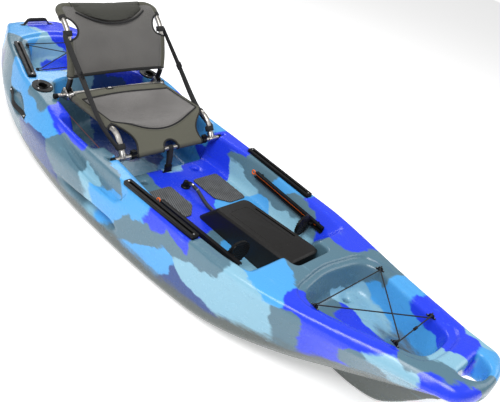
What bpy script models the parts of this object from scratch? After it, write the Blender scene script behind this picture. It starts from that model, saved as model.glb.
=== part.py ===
# Sit-on-top fishing kayak with a framed seat, gear tracks, foot braces and a lift-off pod cover.
# Metres and +Z up. The bow points to -Y and starboard is -X.
# The keel's underside is at z = 0 and y = 0 is halfway along the hull.
import math

import bmesh
import bpy
from mathutils import Matrix, Vector
from mathutils.geometry import tessellate_polygon

GAP = 0.0003

# Hull lines: each is a list of (y, value) that a smooth curve is drawn through.
BOW_END = -1.535
STERN_END = 1.535
BOW_ROUND = 0.11
STERN_ROUND = 0.06
DECK_CROWN = 0.006
SHEER = [(-1.535, 0.412), (-1.3, 0.388), (-1.0, 0.353), (-0.7, 0.337), (-0.3, 0.330), (0.3, 0.333),
         (0.45, 0.341), (0.6, 0.365), (0.85, 0.378), (1.13, 0.402), (1.36, 0.402), (1.47, 0.36), (1.535, 0.30)]
DECK_HALF = [(-1.535, 0.150), (-1.38, 0.158), (-1.2, 0.207), (-1.0, 0.268), (-0.8, 0.322), (-0.6, 0.362),
             (-0.3, 0.370), (0.2, 0.378), (0.45, 0.376), (0.8, 0.348), (1.0, 0.300), (1.2, 0.240), (1.36, 0.160),
             (1.535, 0.085)]
BEAM_HALF = [(-1.535, 0.182), (-1.4, 0.192), (-1.2, 0.235), (-1.0, 0.285), (-0.8, 0.335), (-0.6, 0.366),
             (-0.4, 0.378),
             (-0.2, 0.394), (0.0, 0.413), (0.2, 0.429), (0.4, 0.432), (0.6, 0.425), (0.8, 0.403),
             (1.0, 0.355), (1.2, 0.272), (1.3, 0.224), (1.4, 0.174), (1.535, 0.098)]
BEAM_HEIGHT = [(-1.535, 0.372), (-1.3, 0.348), (-1.0, 0.322), (-0.6, 0.305), (-0.36, 0.266), (-0.2, 0.250),
               (0.0, 0.236), (0.3, 0.226), (0.8, 0.235), (1.2, 0.262), (1.535, 0.235)]
CHINE_HALF = [(-1.535, 0.12), (-1.3, 0.142), (-1.1, 0.196), (-0.9, 0.272), (-0.7, 0.334), (-0.5, 0.366),
              (-0.2, 0.393), (0.2, 0.402), (0.5, 0.392), (0.8, 0.357), (1.0, 0.314), (1.2, 0.246),
              (1.4, 0.158), (1.535, 0.075)]
CHINE_HEIGHT = [(-1.535, 0.352), (-1.42, 0.318), (-1.3, 0.268), (-1.1, 0.185), (-0.9, 0.102), (-0.7, 0.050),
                (-0.5, 0.020), (0.2, 0.010), (0.6, 0.032), (1.0, 0.075), (1.4, 0.090), (1.535, 0.135)]
RUNNER_HALF = [(-1.535, 0.06), (-1.3, 0.085), (-1.1, 0.13), (-0.9, 0.20), (-0.6, 0.275), (0.0, 0.315),
               (0.5, 0.300), (1.0, 0.215), (1.4, 0.095), (1.535, 0.05)]
RUNNER_HEIGHT = [(-1.535, 0.340), (-1.3, 0.195), (-1.1, 0.105), (-0.9, 0.045), (-0.6, 0.004), (-0.3, 0.0),
                 (0.6, 0.0), (1.0, 0.020), (1.4, 0.052), (1.535, 0.120)]
KEEL_HEIGHT = [(-1.535, 0.322), (-1.468, 0.256), (-1.408, 0.212), (-1.366, 0.157), (-1.303, 0.079),
               (-1.247, 0.030), (-1.153, 0.004), (-1.05, 0.0), (1.15, 0.0), (1.35, 0.018), (1.47, 0.065),
               (1.535, 0.120)]
KEEL_HALF = 0.034
TUNNEL_RISE = 0.022
DECK_EDGE_ROUND = 0.012
BEAM_ROUND = 0.022
CHINE_ROUND = 0.040
RUNNER_ROUND = 0.035
STATION_STEP = 0.135
CUT_TOP = 0.6

# Bow tankwell, stern tankwell, cockpit and seat well.
SHELF_DROP = 0.010
SHELF_WIDTH = 0.026
BOW_WELL_FLOOR = 0.215
BOW_WELL_AFT = -0.826
BOW_WELL_FORE = -1.368
STERN_WELL_FLOOR = 0.268
STERN_WELL_FORE = 0.842
STERN_WELL_AFT = 1.235
COCKPIT_FLOOR = 0.195
COCKPIT_FORE = -0.716
SEAT_WELL_FLOOR = 0.105
SEAT_WELL_FORE = 0.125
SEAT_WELL_AFT = 0.800
POCKET_FORE = 0.205
POCKET_AFT = 0.472
POCKET_HALF = 0.350
POCKET_FLOOR = 0.150
TROUGH_FORE = -0.782
SCUPPER_RADIUS = 0.014
SCUPPERS = [(0.150, 0.070), (0.088, -0.935), (0.115, 0.960), (0.165, 0.640)]

# Side features.
TRAY_OUTER = [(-0.10, 0.395), (-0.06, 0.404), (0.10, 0.414), (0.22, 0.413), (0.35, 0.408), (0.47, 0.396)]
TRAY_FLOOR = [(-0.10, 0.262), (-0.03, 0.236), (0.20, 0.240), (0.47, 0.300)]
TRAY_RIM_OFFSET = 0.003
TRAY_STATIONS = 9
SCALLOP_FORE = -0.085
SCALLOP_AFT = 0.400
SCALLOP_HEIGHT = 0.113
SCALLOP_HALF_HEIGHT = 0.024
SCALLOP_DEPTH = 0.032
CARRY_HOLE_FORE = -1.506
CARRY_HOLE_AFT = -1.432
CARRY_HOLE_HALF = 0.084

# Gear tracks.
TRACK_LENGTH_BOW = 0.415
TRACK_LENGTH_STERN = 0.335
TRACK_WIDTH = 0.038
TRACK_HEIGHT = 0.015
TRACK_SLOT = 0.010
TRACK_CHANNEL = 0.022
TRACK_LIP = 0.0035
TRACK_END = 0.020
TRACK_SINK = 0.004
BOW_TRACK = (0.346, -0.265)
BOW_TRACK_YAW = -3.2
STERN_TRACK = (0.267, STERN_WELL_FORE + 0.124)
STERN_TRACK_YAW = 15.0

# Rod holders.
ROD_HOLDER = (0.308, STERN_TRACK[1] - 0.252)
ROD_FLANGE_LONG = 0.056
ROD_FLANGE_SHORT = 0.046
ROD_FLANGE_THICK = 0.007
ROD_BORE = 0.021
ROD_WALL = 0.003
ROD_DEPTH = 0.150
ROD_RAKE = 24.0

# Pad eyes and bungee cord.
EYE_LENGTH = 0.036
EYE_WIDTH = 0.008
EYE_BASE = 0.0022
EYE_SINK = 0.0006
EYE_HOLE_HALF = 0.0065
EYE_HOLE_HEIGHT = 0.0066
EYE_BAR = 0.0030
CORD_RADIUS = 0.0024
LAND_MARGIN = 0.0015
BOW_EYES = [(0.203, BOW_WELL_AFT - 0.135), (0.120, BOW_WELL_FORE + 0.133)]
STERN_EYES = [(0.180, STERN_WELL_AFT - 0.130), (0.246, STERN_WELL_FORE + 0.030)]

# Seat frame.
TUBE_RADIUS = 0.0125
BAR_RADIUS = 0.0100
RAIL_HALF = 0.256
FRONT_BAR = (0.113, 0.318)
REAR_BAR = (0.598, 0.378)
BAR_OVERHANG = 0.056
BAR_HALF = RAIL_HALF + BAR_OVERHANG
CAP_LENGTH = 0.014
CAP_WALL = 0.0018
RAIL_FRONT_TOP = (0.207, 0.409)
RAIL_REAR = (0.560, 0.393)
TEE_LENGTH = 0.044
TEE_WALL = 0.0035
TEE_SOCKET = 0.018
CLAMP_HALF = RAIL_HALF - 0.051
CLAMP_LENGTH = 0.024
CLAMP_WALL = 0.005
CLOTH_THICK = 0.0040
SEAT_SAG = 0.030
FRONT_SAG_SHARE = 0.45
PANEL_INSET = 0.020
PANEL_WAIST = 0.035
MOUTH_HALF = 0.040
MOUTH_RISE = 0.036
BED_CLEARANCE = 0.0006
ANCHOR_Y = 0.100
HOLD_BUCKLE_RISE = 0.026

# Backrest frame, in (y, z), from the hinge up.
HINGE = (0.585, 0.412)
HINGE_END = (0.5865, 0.402)
BACK_PROFILE = [(0.576, 0.440), (0.570, 0.480), (0.584, 0.565), (0.627, 0.672), (0.690, 0.722), (0.742, 0.740)]
BACK_CORNER = 0.060
BRACKET_THICK = 0.0030
BRACKET_CLEARANCE = 0.0008
PIN_RADIUS = 0.0040
PIN_CLEARANCE = 0.0005
PIN_HEAD = 0.0070
CUTOUT_LOW = 0.640
CUTOUT_INNER = 0.205
HEADREST_HALF = 0.188
HEADREST_LOW = 0.694
HEADREST_THICK = 0.010
STRAP_WIDTH = 0.025
STRAP_THICK = 0.0018
STRAP_TOP = (0.6245, 0.664)
STRAP_ROUTE = [(0.458, 0.539), (0.284, 0.410)]
STRAP_LEG_RISE = 0.049
BUCKLE_WALL = 0.0012
BUCKLE_LENGTH = 0.026

# Foot braces: a slotted rail on each side wall, a pedal that slides in it and a twist rod.
BRACE_FORE = (0.256, -0.640, 0.289)
BRACE_AFT = (0.286, -0.195, 0.294)
BRACE_HALF_HEIGHT = 0.015
BRACE_DEPTH = 0.016
BRACE_WALL = 0.003
BRACE_SLOT = 0.0065
BRACE_BOSS = (0.007, 0.018)
PEDAL_PLACE = 0.067
PEDAL_OUT = 0.047
PEDAL_HALF_WIDTH = 0.027
PEDAL_HALF_HEIGHT = 0.042
PEDAL_THICK = 0.012
PEDAL_RIBS = 7
SLIDE_CLEARANCE = 0.0005
ROD_RADIUS = 0.0030
ROD_DEPTH_IN_RAIL = 0.0085
RING_RADIUS = 0.0095

# Mats, pod cover and its hose.
MAT_THICK = 0.005
MAT_INNER = 0.066
MAT_OUTER = 0.216
MAT_AFT = -0.008
MAT_FORE = -0.222
POD_HALF = 0.094
POD_FOOT_AFT = -0.235
POD_AFT = -0.324
POD_FORE = -0.745
POD_TOP_AFT = 0.293
POD_TOP_FORE = 0.322
POD_WALL = 0.004
POD_EDGE = 0.008
POD_SLOT = (0.068, -0.400, -0.630, 0.004)
HOSE_RADIUS = 0.0090
HOSE_VALLEY = 0.0078
HOSE_BORE = 0.0062
HOSE_RIB_PITCH = 0.0074
HOSE_FITTING = (0.0, -0.037)
FITTING_RADIUS = 0.021
FITTING_RISE = 0.024
FITTING_REACH = 0.032
HOSE_X = -0.012

# Handles, side cord and keel wheel.
SIDE_HANDLE_FORE = 0.690
SIDE_HANDLE_AFT = 0.875
SIDE_HANDLE_LOW = 0.251
SIDE_HANDLE_HIGH = 0.278
SIDE_HANDLE_TAB = 0.022
SIDE_HANDLE_WIDTH = 0.024
SIDE_HANDLE_THICK = 0.003
SIDE_HANDLE_BOW = 0.018
SCOOP_DEPTH = 0.030
STERN_HANDLE_Y = 1.352
STERN_HANDLE_HALF = 0.092
STERN_GRIP_HALF = 0.058
STERN_GRIP_RADIUS = 0.010
STERN_GRIP_RISE = 0.030
SIDE_CORD_AFT = (0.299, 0.472, 0.336)
SIDE_CORD_FORE = (0.304, 0.205, 0.313)
SIDE_CORD_RADIUS = 0.0015
SIDE_CORD_HOLD = 0.010
WHEEL_Y = 1.330
WHEEL_RADIUS = 0.058
WHEEL_HALF_WIDTH = 0.018
WHEEL_CENTRE = 0.068
WHEEL_ROOM = 0.007
AXLE_RADIUS = 0.006
AXLE_HALF = 0.034
AXLE_CLEARANCE = 0.0006

COLOURS = {
    "hull_plastic": ((0.10, 0.35, 0.85), 0.32, 0.0),
    "black_plastic": ((0.02, 0.02, 0.022), 0.45, 0.0),
    "aluminium": ((0.72, 0.73, 0.74), 0.30, 1.0),
    "steel": ((0.62, 0.62, 0.64), 0.28, 1.0),
    "mesh_cloth": ((0.30, 0.30, 0.30), 0.85, 0.0),
    "khaki_cloth": ((0.16, 0.155, 0.13), 0.85, 0.0),
    "webbing": ((0.015, 0.015, 0.017), 0.80, 0.0),
    "cord": ((0.02, 0.02, 0.02), 0.70, 0.0),
    "foam_mat": ((0.12, 0.13, 0.14), 0.90, 0.0),
    "orange_plastic": ((0.90, 0.22, 0.03), 0.40, 0.0),
    "rubber": ((0.03, 0.03, 0.03), 0.75, 0.0),
    "red_cord": ((0.25, 0.05, 0.03), 0.70, 0.0),
}


# Scene and materials.
def clear_scene():
    for item in list(bpy.data.objects):
        bpy.data.objects.remove(item, do_unlink=True)


def material(name):
    found = bpy.data.materials.get(name)
    if found:
        return found
    colour, roughness, metallic = COLOURS[name]
    made = bpy.data.materials.new(name)
    made.use_nodes = True
    shader = made.node_tree.nodes["Principled BSDF"]
    shader.inputs["Base Color"].default_value = (*colour, 1.0)
    shader.inputs["Roughness"].default_value = roughness
    shader.inputs["Metallic"].default_value = metallic
    return made


# Curves through a few points, and outlines with rounded corners.
def along(points, y):
    """Value at y of a smooth curve through (y, value) points, flat past its ends."""
    if y <= points[0][0]:
        return points[0][1]
    if y >= points[-1][0]:
        return points[-1][1]
    slopes = []
    for i, (here, value) in enumerate(points):
        left = points[max(i - 1, 0)]
        right = points[min(i + 1, len(points) - 1)]
        rising = (value - left[1]) * (right[1] - value) > 0 or i in (0, len(points) - 1)
        slopes.append((right[1] - left[1]) / (right[0] - left[0]) if rising else 0.0)
    i = max(k for k in range(len(points) - 1) if points[k][0] <= y)
    (y0, v0), (y1, v1) = points[i], points[i + 1]
    step = y1 - y0
    t = (y - y0) / step
    return ((2 * t**3 - 3 * t**2 + 1) * v0 + (t**3 - 2 * t**2 + t) * step * slopes[i]
            + (3 * t**2 - 2 * t**3) * v1 + (t**3 - t**2) * step * slopes[i + 1])


def fillet(before, corner, after, radius, steps):
    """Points of a round corner, as a quadratic curve between its tangent points."""
    before, corner, after = Vector(before), Vector(corner), Vector(after)
    reach_in = min(radius, 0.45 * (before - corner).length)
    reach_out = min(radius, 0.45 * (after - corner).length)
    start = corner + (before - corner).normalized() * reach_in
    end = corner + (after - corner).normalized() * reach_out
    arc = []
    for k in range(steps + 1):
        t = k / steps
        arc.append((1 - t)**2 * start + 2 * t * (1 - t) * corner + t**2 * end)
    return arc


def rounded_path(points, radius, steps=4):
    """Open path with its inner corners rounded."""
    path = [Vector(points[0])]
    for i in range(1, len(points) - 1):
        path += fillet(points[i - 1], points[i], points[i + 1], radius, steps)
    path.append(Vector(points[-1]))
    return path


def rounded_outline(points, radius, steps=3):
    """Closed outline with every corner rounded."""
    count = len(points)
    outline = []
    for i in range(count):
        outline += fillet(points[i - 1], points[i], points[(i + 1) % count], radius, steps)
    return outline


def smooth_path(points, steps):
    """Open Catmull-Rom curve through every point."""
    path = []
    points = [Vector(p) for p in points]
    for i in range(len(points) - 1):
        p0 = points[max(i - 1, 0)]
        p1, p2 = points[i], points[i + 1]
        p3 = points[min(i + 2, len(points) - 1)]
        for k in range(steps):
            t = k / steps
            path.append(0.5 * (2 * p1 + (p2 - p0) * t + (2 * p0 - 5 * p1 + 4 * p2 - p3) * t**2
                               + (3 * p1 - p0 - 3 * p2 + p3) * t**3))
    path.append(points[-1])
    return path


def mirrored(half):
    """Closed outline from its port half, listed from the fore end to the aft end."""
    far = [(-x, y) for x, y in reversed(half) if x > 0]
    return list(half) + far


# Mesh builders.
def mesh_object(name, verts, faces, finish, home=None, sharp=35):
    mesh = bpy.data.meshes.new(name)
    mesh.from_pydata([tuple(v) for v in verts], [], faces)
    form = bmesh.new()
    form.from_mesh(mesh)
    bmesh.ops.recalc_face_normals(form, faces=form.faces)
    form.to_mesh(mesh)
    form.free()
    return keep(name, mesh, finish, home, sharp)


def keep(name, data, finish, home=None, sharp=35):
    """Links a mesh or curve as an object, hung from the empty it moves with."""
    item = bpy.data.objects.new(name, data)
    bpy.context.scene.collection.objects.link(item)
    if finish:
        data.materials.append(material(finish))
    if home:
        data.transform(Matrix.Translation(-home.location))
        item.parent = home
    if isinstance(data, bpy.types.Mesh):
        data.shade_smooth()
        data.set_sharp_from_angle(angle=math.radians(sharp))
    return item


def pivot(name, place):
    """Empty on a joint's axis, the parent of what moves with it."""
    empty = bpy.data.objects.new(name, None)
    empty.empty_display_size = 0.05
    empty.location = place
    bpy.context.scene.collection.objects.link(empty)
    return empty


def loft(name, rings, finish, home=None, sharp=35):
    """Closed skin over a run of rings with equal counts, capped at both ends."""
    count = len(rings[0])
    verts = [v for ring in rings for v in ring]
    faces = []
    for i in range(len(rings) - 1):
        for k in range(count):
            n = (k + 1) % count
            faces.append((i * count + k, i * count + n, (i + 1) * count + n, (i + 1) * count + k))
    faces.append(tuple(reversed(range(count))))
    faces.append(tuple(range((len(rings) - 1) * count, len(rings) * count)))
    return mesh_object(name, verts, faces, finish, home, sharp)


def prism(name, outline, low, high, finish, frame=None, holes=(), home=None, sharp=35):
    """Plate of the given outline between two heights, with any holes through it."""
    frame = frame or Matrix.Identity(4)
    loops = [list(outline)] + [list(hole) for hole in holes]
    flat = [Vector((p[0], p[1], 0)) for loop in loops for p in loop]
    total = len(flat)
    verts = [frame @ Vector((p.x, p.y, low)) for p in flat] + [frame @ Vector((p.x, p.y, high)) for p in flat]
    caps = tessellate_polygon([[Vector((p[0], p[1], 0)) for p in loop] for loop in loops])
    faces = [tuple(face) for face in caps] + [tuple(total + i for i in reversed(face)) for face in caps]
    start = 0
    for loop in loops:
        count = len(loop)
        for k in range(count):
            n = (k + 1) % count
            faces.append((start + k, start + n, total + start + n, total + start + k))
        start += count
    return mesh_object(name, verts, faces, finish, home, sharp)


def turned(name, profile, finish, frame=None, segments=20, home=None, sharp=35):
    """Turned piece: a closed (radius, height) profile spun about the frame's Z axis."""
    frame = frame or Matrix.Identity(4)
    verts, faces, rows = [], [], []
    for radius, height in profile:
        if radius < 1e-6:
            rows.append([len(verts)] * segments)
            verts.append(frame @ Vector((0, 0, height)))
            continue
        rows.append(list(range(len(verts), len(verts) + segments)))
        for k in range(segments):
            angle = 2 * math.pi * k / segments
            verts.append(frame @ Vector((radius * math.cos(angle), radius * math.sin(angle), height)))
    closed = profile[0][0] > 1e-6 or profile[-1][0] > 1e-6
    pairs = len(rows) if closed else len(rows) - 1
    for i in range(pairs):
        upper, lower = rows[i], rows[(i + 1) % len(rows)]
        for k in range(segments):
            n = (k + 1) % segments
            corners = [upper[k], upper[n], lower[n], lower[k]]
            face = [c for j, c in enumerate(corners) if c not in corners[:j]]
            if len(face) > 2:
                faces.append(tuple(face))
    return mesh_object(name, verts, faces, finish, home, sharp)


def tube_curve(name, points, radius, rounds=3, cyclic=False):
    curve = bpy.data.curves.new(name, "CURVE")
    curve.dimensions = "3D"
    curve.bevel_depth = radius
    curve.bevel_resolution = rounds
    curve.use_fill_caps = not cyclic
    line = curve.splines.new("POLY")
    line.points.add(len(points) - 1)
    for spot, place in zip(line.points, points):
        spot.co = (*place, 1.0)
    line.use_cyclic_u = cyclic
    return curve


def tube(name, points, radius, finish, rounds=3, cyclic=False, home=None):
    """Round bar or cord along a path."""
    return keep(name, tube_curve(name, points, radius, rounds, cyclic), finish, home)


def meshed(name, curve):
    """Mesh of a bevelled curve, so that it can be cut or can cut."""
    holder = bpy.data.objects.new(name, curve)
    bpy.context.scene.collection.objects.link(holder)
    bpy.context.view_layer.update()
    mesh = bpy.data.meshes.new_from_object(holder)
    bpy.data.objects.remove(holder, do_unlink=True)
    return mesh


def ribbon(name, points, width, thick, across, finish, home=None):
    """Flat strap along a path, its width lying along the across direction."""
    points = [Vector(p) for p in points]
    across = Vector(across).normalized()
    rings = []
    for i, place in enumerate(points):
        run = points[min(i + 1, len(points) - 1)] - points[max(i - 1, 0)]
        up = across.cross(run).normalized()
        side = across * width / 2
        lift = up * thick / 2
        rings.append([place - side - lift, place + side - lift, place + side + lift, place - side + lift])
    return loft(name, rings, finish, home)


def cut(target, cutter, mode="DIFFERENCE"):
    """Boolean of a target by a cutter that is left out of the model."""
    step = target.modifiers.new(cutter.name, "BOOLEAN")
    step.operation = mode
    step.solver = "EXACT"
    step.object = cutter
    cutter.hide_render = True
    cutter.display_type = "WIRE"


def bore(name, target, points, radius, home, rounds=4):
    """Cuts a passage along a path, one gap wider than the bar that lies in it."""
    cut(target, keep(name, meshed(name, tube_curve(name, points, radius + GAP, rounds)), None, home))


def mirror(frame, side):
    """The port frame itself, or its mirror image on starboard."""
    return Matrix.Diagonal((side, 1, 1, 1)) @ frame


def frame_at(place, yaw=0.0, pitch=0.0, roll=0.0):
    """Frame at a place, turned about Z, then X, then Y, in degrees."""
    return (Matrix.Translation(place) @ Matrix.Rotation(math.radians(yaw), 4, "Z")
            @ Matrix.Rotation(math.radians(pitch), 4, "X") @ Matrix.Rotation(math.radians(roll), 4, "Y"))


def frame_along(start, end, up=(0, 0, 1)):
    """Frame at start whose Z axis points to end and whose X axis lies square to up."""
    z = (Vector(end) - Vector(start)).normalized()
    x = Vector(up).cross(z).normalized()
    y = z.cross(x)
    turn = Matrix((x, y, z)).transposed().to_4x4()
    return Matrix.Translation(start) @ turn


def flip(frame, side):
    """Mirrors a frame's place to one side: 1 keeps port and -1 gives starboard."""
    if side > 0:
        return frame
    return Matrix.Scale(-1, 4, (1, 0, 0)) @ frame @ Matrix.Scale(-1, 4, (1, 0, 0))


def ellipse(half_x, half_y, count=16):
    return [(half_x * math.cos(2 * math.pi * k / count), half_y * math.sin(2 * math.pi * k / count))
            for k in range(count)]


# Hull form.
def sheer(y):
    return along(SHEER, y)


def section(y):
    """Half section at y: (x, z) from the deck's centre line round to the keel's."""
    deck, top = along(DECK_HALF, y), sheer(y)
    keel, runner = along(KEEL_HEIGHT, y), (along(RUNNER_HALF, y), along(RUNNER_HEIGHT, y))
    tunnel = (0.5 * (KEEL_HALF + runner[0]), max(keel, runner[1]) + TUNNEL_RISE)
    marks = [(0, top + DECK_CROWN), (0.55 * deck, top + 0.8 * DECK_CROWN), (deck, top),
             (along(BEAM_HALF, y), along(BEAM_HEIGHT, y)), (along(CHINE_HALF, y), along(CHINE_HEIGHT, y)),
             runner, tunnel, (KEEL_HALF, keel), (0, keel)]
    radii = [None, None, DECK_EDGE_ROUND, BEAM_ROUND, CHINE_ROUND, RUNNER_ROUND, None, None, None]
    half = []
    for i, mark in enumerate(marks):
        if radii[i] is None:
            half.append(Vector(mark))
        else:
            half += fillet(marks[i - 1], mark, marks[i + 1], radii[i], 2)
    return half


def end_factor(gap_to_end, reach):
    """Half-circle factor from 0 at an end to 1 at its reach."""
    if gap_to_end >= reach:
        return 1.0
    return math.sqrt(max(1 - (1 - gap_to_end / reach)**2, 0.0))


def stations():
    """Places along the hull, close together where the ends round off."""
    ends = [0.0015, 0.008, 0.022, 0.045, 0.075]
    first, last = BOW_END + BOW_ROUND, STERN_END - BOW_ROUND
    count = round((last - first) / STATION_STEP)
    middle = [first + (last - first) * i / count for i in range(count + 1)]
    return [BOW_END + e for e in ends] + middle + [STERN_END - e for e in reversed(ends)]


def hull_ring(y):
    half = section(y)
    narrow = end_factor(y - BOW_END, BOW_ROUND) * end_factor(STERN_END - y, STERN_ROUND)
    shallow = end_factor(y - BOW_END, 0.03) * end_factor(STERN_END - y, 0.03)
    middle = 0.5 * (half[0].y + half[-1].y)
    port = [(p.x * narrow, y, middle + (p.y - middle) * shallow) for p in half]
    starboard = [(-x, y, z) for x, y, z in reversed(port[1:-1])]
    return port + starboard


def deck_point(x, y):
    """Point of the deck's surface, seen from above."""
    share = min(abs(x) / along(DECK_HALF, y), 1.0)
    return Vector((x, y, sheer(y) + DECK_CROWN * (1 - share)))


def shelf_height(y):
    return sheer(y) - SHELF_DROP


def tub(name, levels):
    """Cutter for a well: outlines of equal count, each with its height or height rule."""
    rings = []
    for outline, height in levels:
        rings.append([(x, y, height(y) if callable(height) else height) for x, y in outline])
    return loft(name, rings, None)


def shrunk(half, inset):
    """Half outline drawn in toward its own middle by an inset."""
    middle = 0.5 * (half[0][1] + half[-1][1])
    reach = max(abs(y - middle) for _, y in half)
    return [(max(x - inset, 0.0) if x > 0 else 0.0, y - inset * (y - middle) / reach) for x, y in half]


def well(name, half, radius, floor, taper, steps):
    """Two-level well: a rim step all round, then walls that lean in to a flat floor."""
    rim = rounded_outline(mirrored(half), radius, steps)
    inner = rounded_outline(mirrored(shrunk(half, SHELF_WIDTH)), radius, steps)
    foot = rounded_outline(mirrored(shrunk(half, SHELF_WIDTH + 0.6 * taper)), radius, steps)
    base = rounded_outline(mirrored(shrunk(half, SHELF_WIDTH + taper)), radius, steps)
    upper = tub(name + "_rim", [(rim, CUT_TOP), (rim, shelf_height)])
    levels = [(inner, CUT_TOP), (inner, shelf_height), (foot, floor + 0.03), (base, floor)]
    lower = tub(name + "_hollow", levels)
    return [upper, lower]


def bow_well_half():
    return [(0, BOW_WELL_FORE), (0.125, BOW_WELL_FORE + 0.016), (0.232, -0.940), (0.205, -0.862),
            (0, BOW_WELL_AFT)]


def stern_well_half():
    return [(0, STERN_WELL_FORE), (0.225, STERN_WELL_FORE + 0.004), (0.285, STERN_WELL_FORE + 0.030),
            (0.178, STERN_WELL_AFT - 0.04), (0, STERN_WELL_AFT)]


def cockpit_cutters():
    """Foot well: rim and floor outlines share their counts, so the walls lean between them."""
    rim = [(0, COCKPIT_FORE), (0.285, COCKPIT_FORE), (0.306, -0.60), (0.322, -0.25), (0.300, 0.0),
           (0.288, SEAT_WELL_FORE + 0.02), (0, SEAT_WELL_FORE + 0.02)]
    foot = [(0, -0.625), (0.190, -0.625), (0.212, -0.54), (0.252, -0.25), (0.262, 0.0),
            (0.262, SEAT_WELL_FORE + 0.02), (0, SEAT_WELL_FORE + 0.02)]
    rim_line = rounded_outline(mirrored(rim), 0.030)
    foot_line = rounded_outline(mirrored(foot), 0.030)
    base_line = rounded_outline(mirrored(shrunk(foot, 0.012)), 0.030)
    levels = [(rim_line, CUT_TOP), (rim_line, sheer), (foot_line, COCKPIT_FLOOR + 0.02), (base_line, COCKPIT_FLOOR)]
    cockpit = tub("cockpit_hollow", levels)
    trough = rounded_outline(mirrored([(0, TROUGH_FORE), (POD_HALF + 0.008, TROUGH_FORE),
                                       (POD_HALF + 0.008, -0.55), (0, -0.55)]), 0.028)
    trough_cutter = tub("trough_hollow", [(trough, CUT_TOP), (trough, COCKPIT_FLOOR)])
    return [cockpit, trough_cutter]


def seat_well_cutter():
    rim = [(0, SEAT_WELL_FORE), (0.290, SEAT_WELL_FORE), (0.300, 0.40), (0.296, 0.62), (0.235, 0.745),
           (0, SEAT_WELL_AFT)]
    base = [(0, SEAT_WELL_FORE + 0.012), (0.250, SEAT_WELL_FORE + 0.012), (0.255, 0.40), (0.248, 0.60),
            (0.200, 0.700), (0, SEAT_WELL_AFT - 0.045)]
    rim_line = rounded_outline(mirrored(rim), 0.040)
    base_line = rounded_outline(mirrored(base), 0.040)
    return tub("seat_well_hollow", [(rim_line, CUT_TOP), (rim_line, sheer), (base_line, SEAT_WELL_FLOOR)])


def seat_pockets():
    """Side pockets that widen the seat well between its fore and aft ledge blocks."""
    def outline(half, fore, aft):
        return rounded_outline([(-half, fore), (half, fore), (half, aft), (-half, aft)], 0.020)
    top = outline(POCKET_HALF, POCKET_FORE, POCKET_AFT)
    low = outline(POCKET_HALF - 0.055, POCKET_FORE + 0.015, POCKET_AFT - 0.015)
    base = outline(POCKET_HALF - 0.095, POCKET_FORE + 0.025, POCKET_AFT - 0.025)
    return tub("seat_pockets", [(top, CUT_TOP), (top, sheer), (low, POCKET_FLOOR + 0.035), (base, POCKET_FLOOR)])


def bar_beds():
    """Notches in the seat well's rims that the seat's two cross bars lie in."""
    beds = []
    for name, (y, z) in (("front", FRONT_BAR), ("rear", REAR_BAR)):
        for side in (1, -1):
            reach = BAR_RADIUS + CAP_WALL + BED_CLEARANCE
            outline = [(-reach, -reach), (reach, -reach), (reach + 0.02, 0.30), (-reach - 0.02, 0.30)]
            length = BAR_HALF + CAP_LENGTH + 0.006 - 0.20
            turn = Matrix(((0, 0, side, side * 0.20), (1, 0, 0, y), (0, 1, 0, z), (0, 0, 0, 1)))
            beds.append(prism(f"{name}_bed_{side}", outline, 0, length, None, turn))
    return beds


def shoulder(x, y):
    """Height of the shoulder between the deck's edge and the beam."""
    deck, beam = along(DECK_HALF, y), along(BEAM_HALF, y)
    share = min(max((x - deck) / max(beam - deck, 0.01), 0.0), 1.0)
    return sheer(y) + share * (along(BEAM_HEIGHT, y) - sheer(y))


def side_tray(side):
    """Long teardrop tray in the shoulder beside the seat, its outer lip leaning out."""
    fore, aft = TRAY_OUTER[0][0], TRAY_OUTER[-1][0]
    rings = []
    for k in range(TRAY_STATIONS):
        share = k / (TRAY_STATIONS - 1)
        y = fore + (aft - fore) * share
        open_share = max(end_factor(share, 0.12) * end_factor(1 - share, 0.40), 0.08)
        inner = along(DECK_HALF, y) + TRAY_RIM_OFFSET
        outer = inner + (along(TRAY_OUTER, y) - inner) * open_share
        edge = shoulder(outer, y)
        floor = edge - (edge - along(TRAY_FLOOR, y)) * open_share
        width = outer - inner
        half = [(inner, CUT_TOP), (inner + 0.05 * width, floor + 0.25 * (edge - floor)), (inner + 0.25 * width, floor),
                (outer - 0.35 * width, floor), (outer - 0.10 * width, floor + 0.45 * (edge - floor)),
                (outer, edge + 0.001), (outer + 0.06, CUT_TOP)]
        rings.append([(side * x, y, z) for x, z in half])
    return loft(f"tray_{side}", rings, None)


def side_scallop(side):
    """Long pointed scallop low on the side: a flat roof over a ledge, deepest toward its fore end."""
    rings = []
    for share in (0.0, 0.12, 0.3, 0.55, 0.8, 0.93, 1.0):
        y = SCALLOP_AFT + (SCALLOP_FORE - SCALLOP_AFT) * share
        swell = max(math.sin(math.pi * min(share / 1.7, 1.0)) * end_factor(1 - share, 0.18), 0.06)
        tall, deep = SCALLOP_HALF_HEIGHT * swell, SCALLOP_DEPTH * swell
        wall = side_wall(y, SCALLOP_HEIGHT)
        reach = 0.08
        rings.append([(side * (wall - deep), y, SCALLOP_HEIGHT + 0.9 * tall),
                      (side * (wall - deep), y, SCALLOP_HEIGHT + 0.3 * tall),
                      (side * (wall + reach), y, SCALLOP_HEIGHT - tall - reach * 1.3 * tall / deep),
                      (side * (wall + reach), y, SCALLOP_HEIGHT + 1.3 * tall)])
    return loft(f"scallop_{side}", rings, None)


def side_wall(y, z):
    """Half-width of the hull's side at a height between the chine and the beam."""
    low, high = along(CHINE_HEIGHT, y), along(BEAM_HEIGHT, y)
    share = min(max((z - low) / (high - low), 0.0), 1.0)
    return along(CHINE_HALF, y) + share * (along(BEAM_HALF, y) - along(CHINE_HALF, y))


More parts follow.
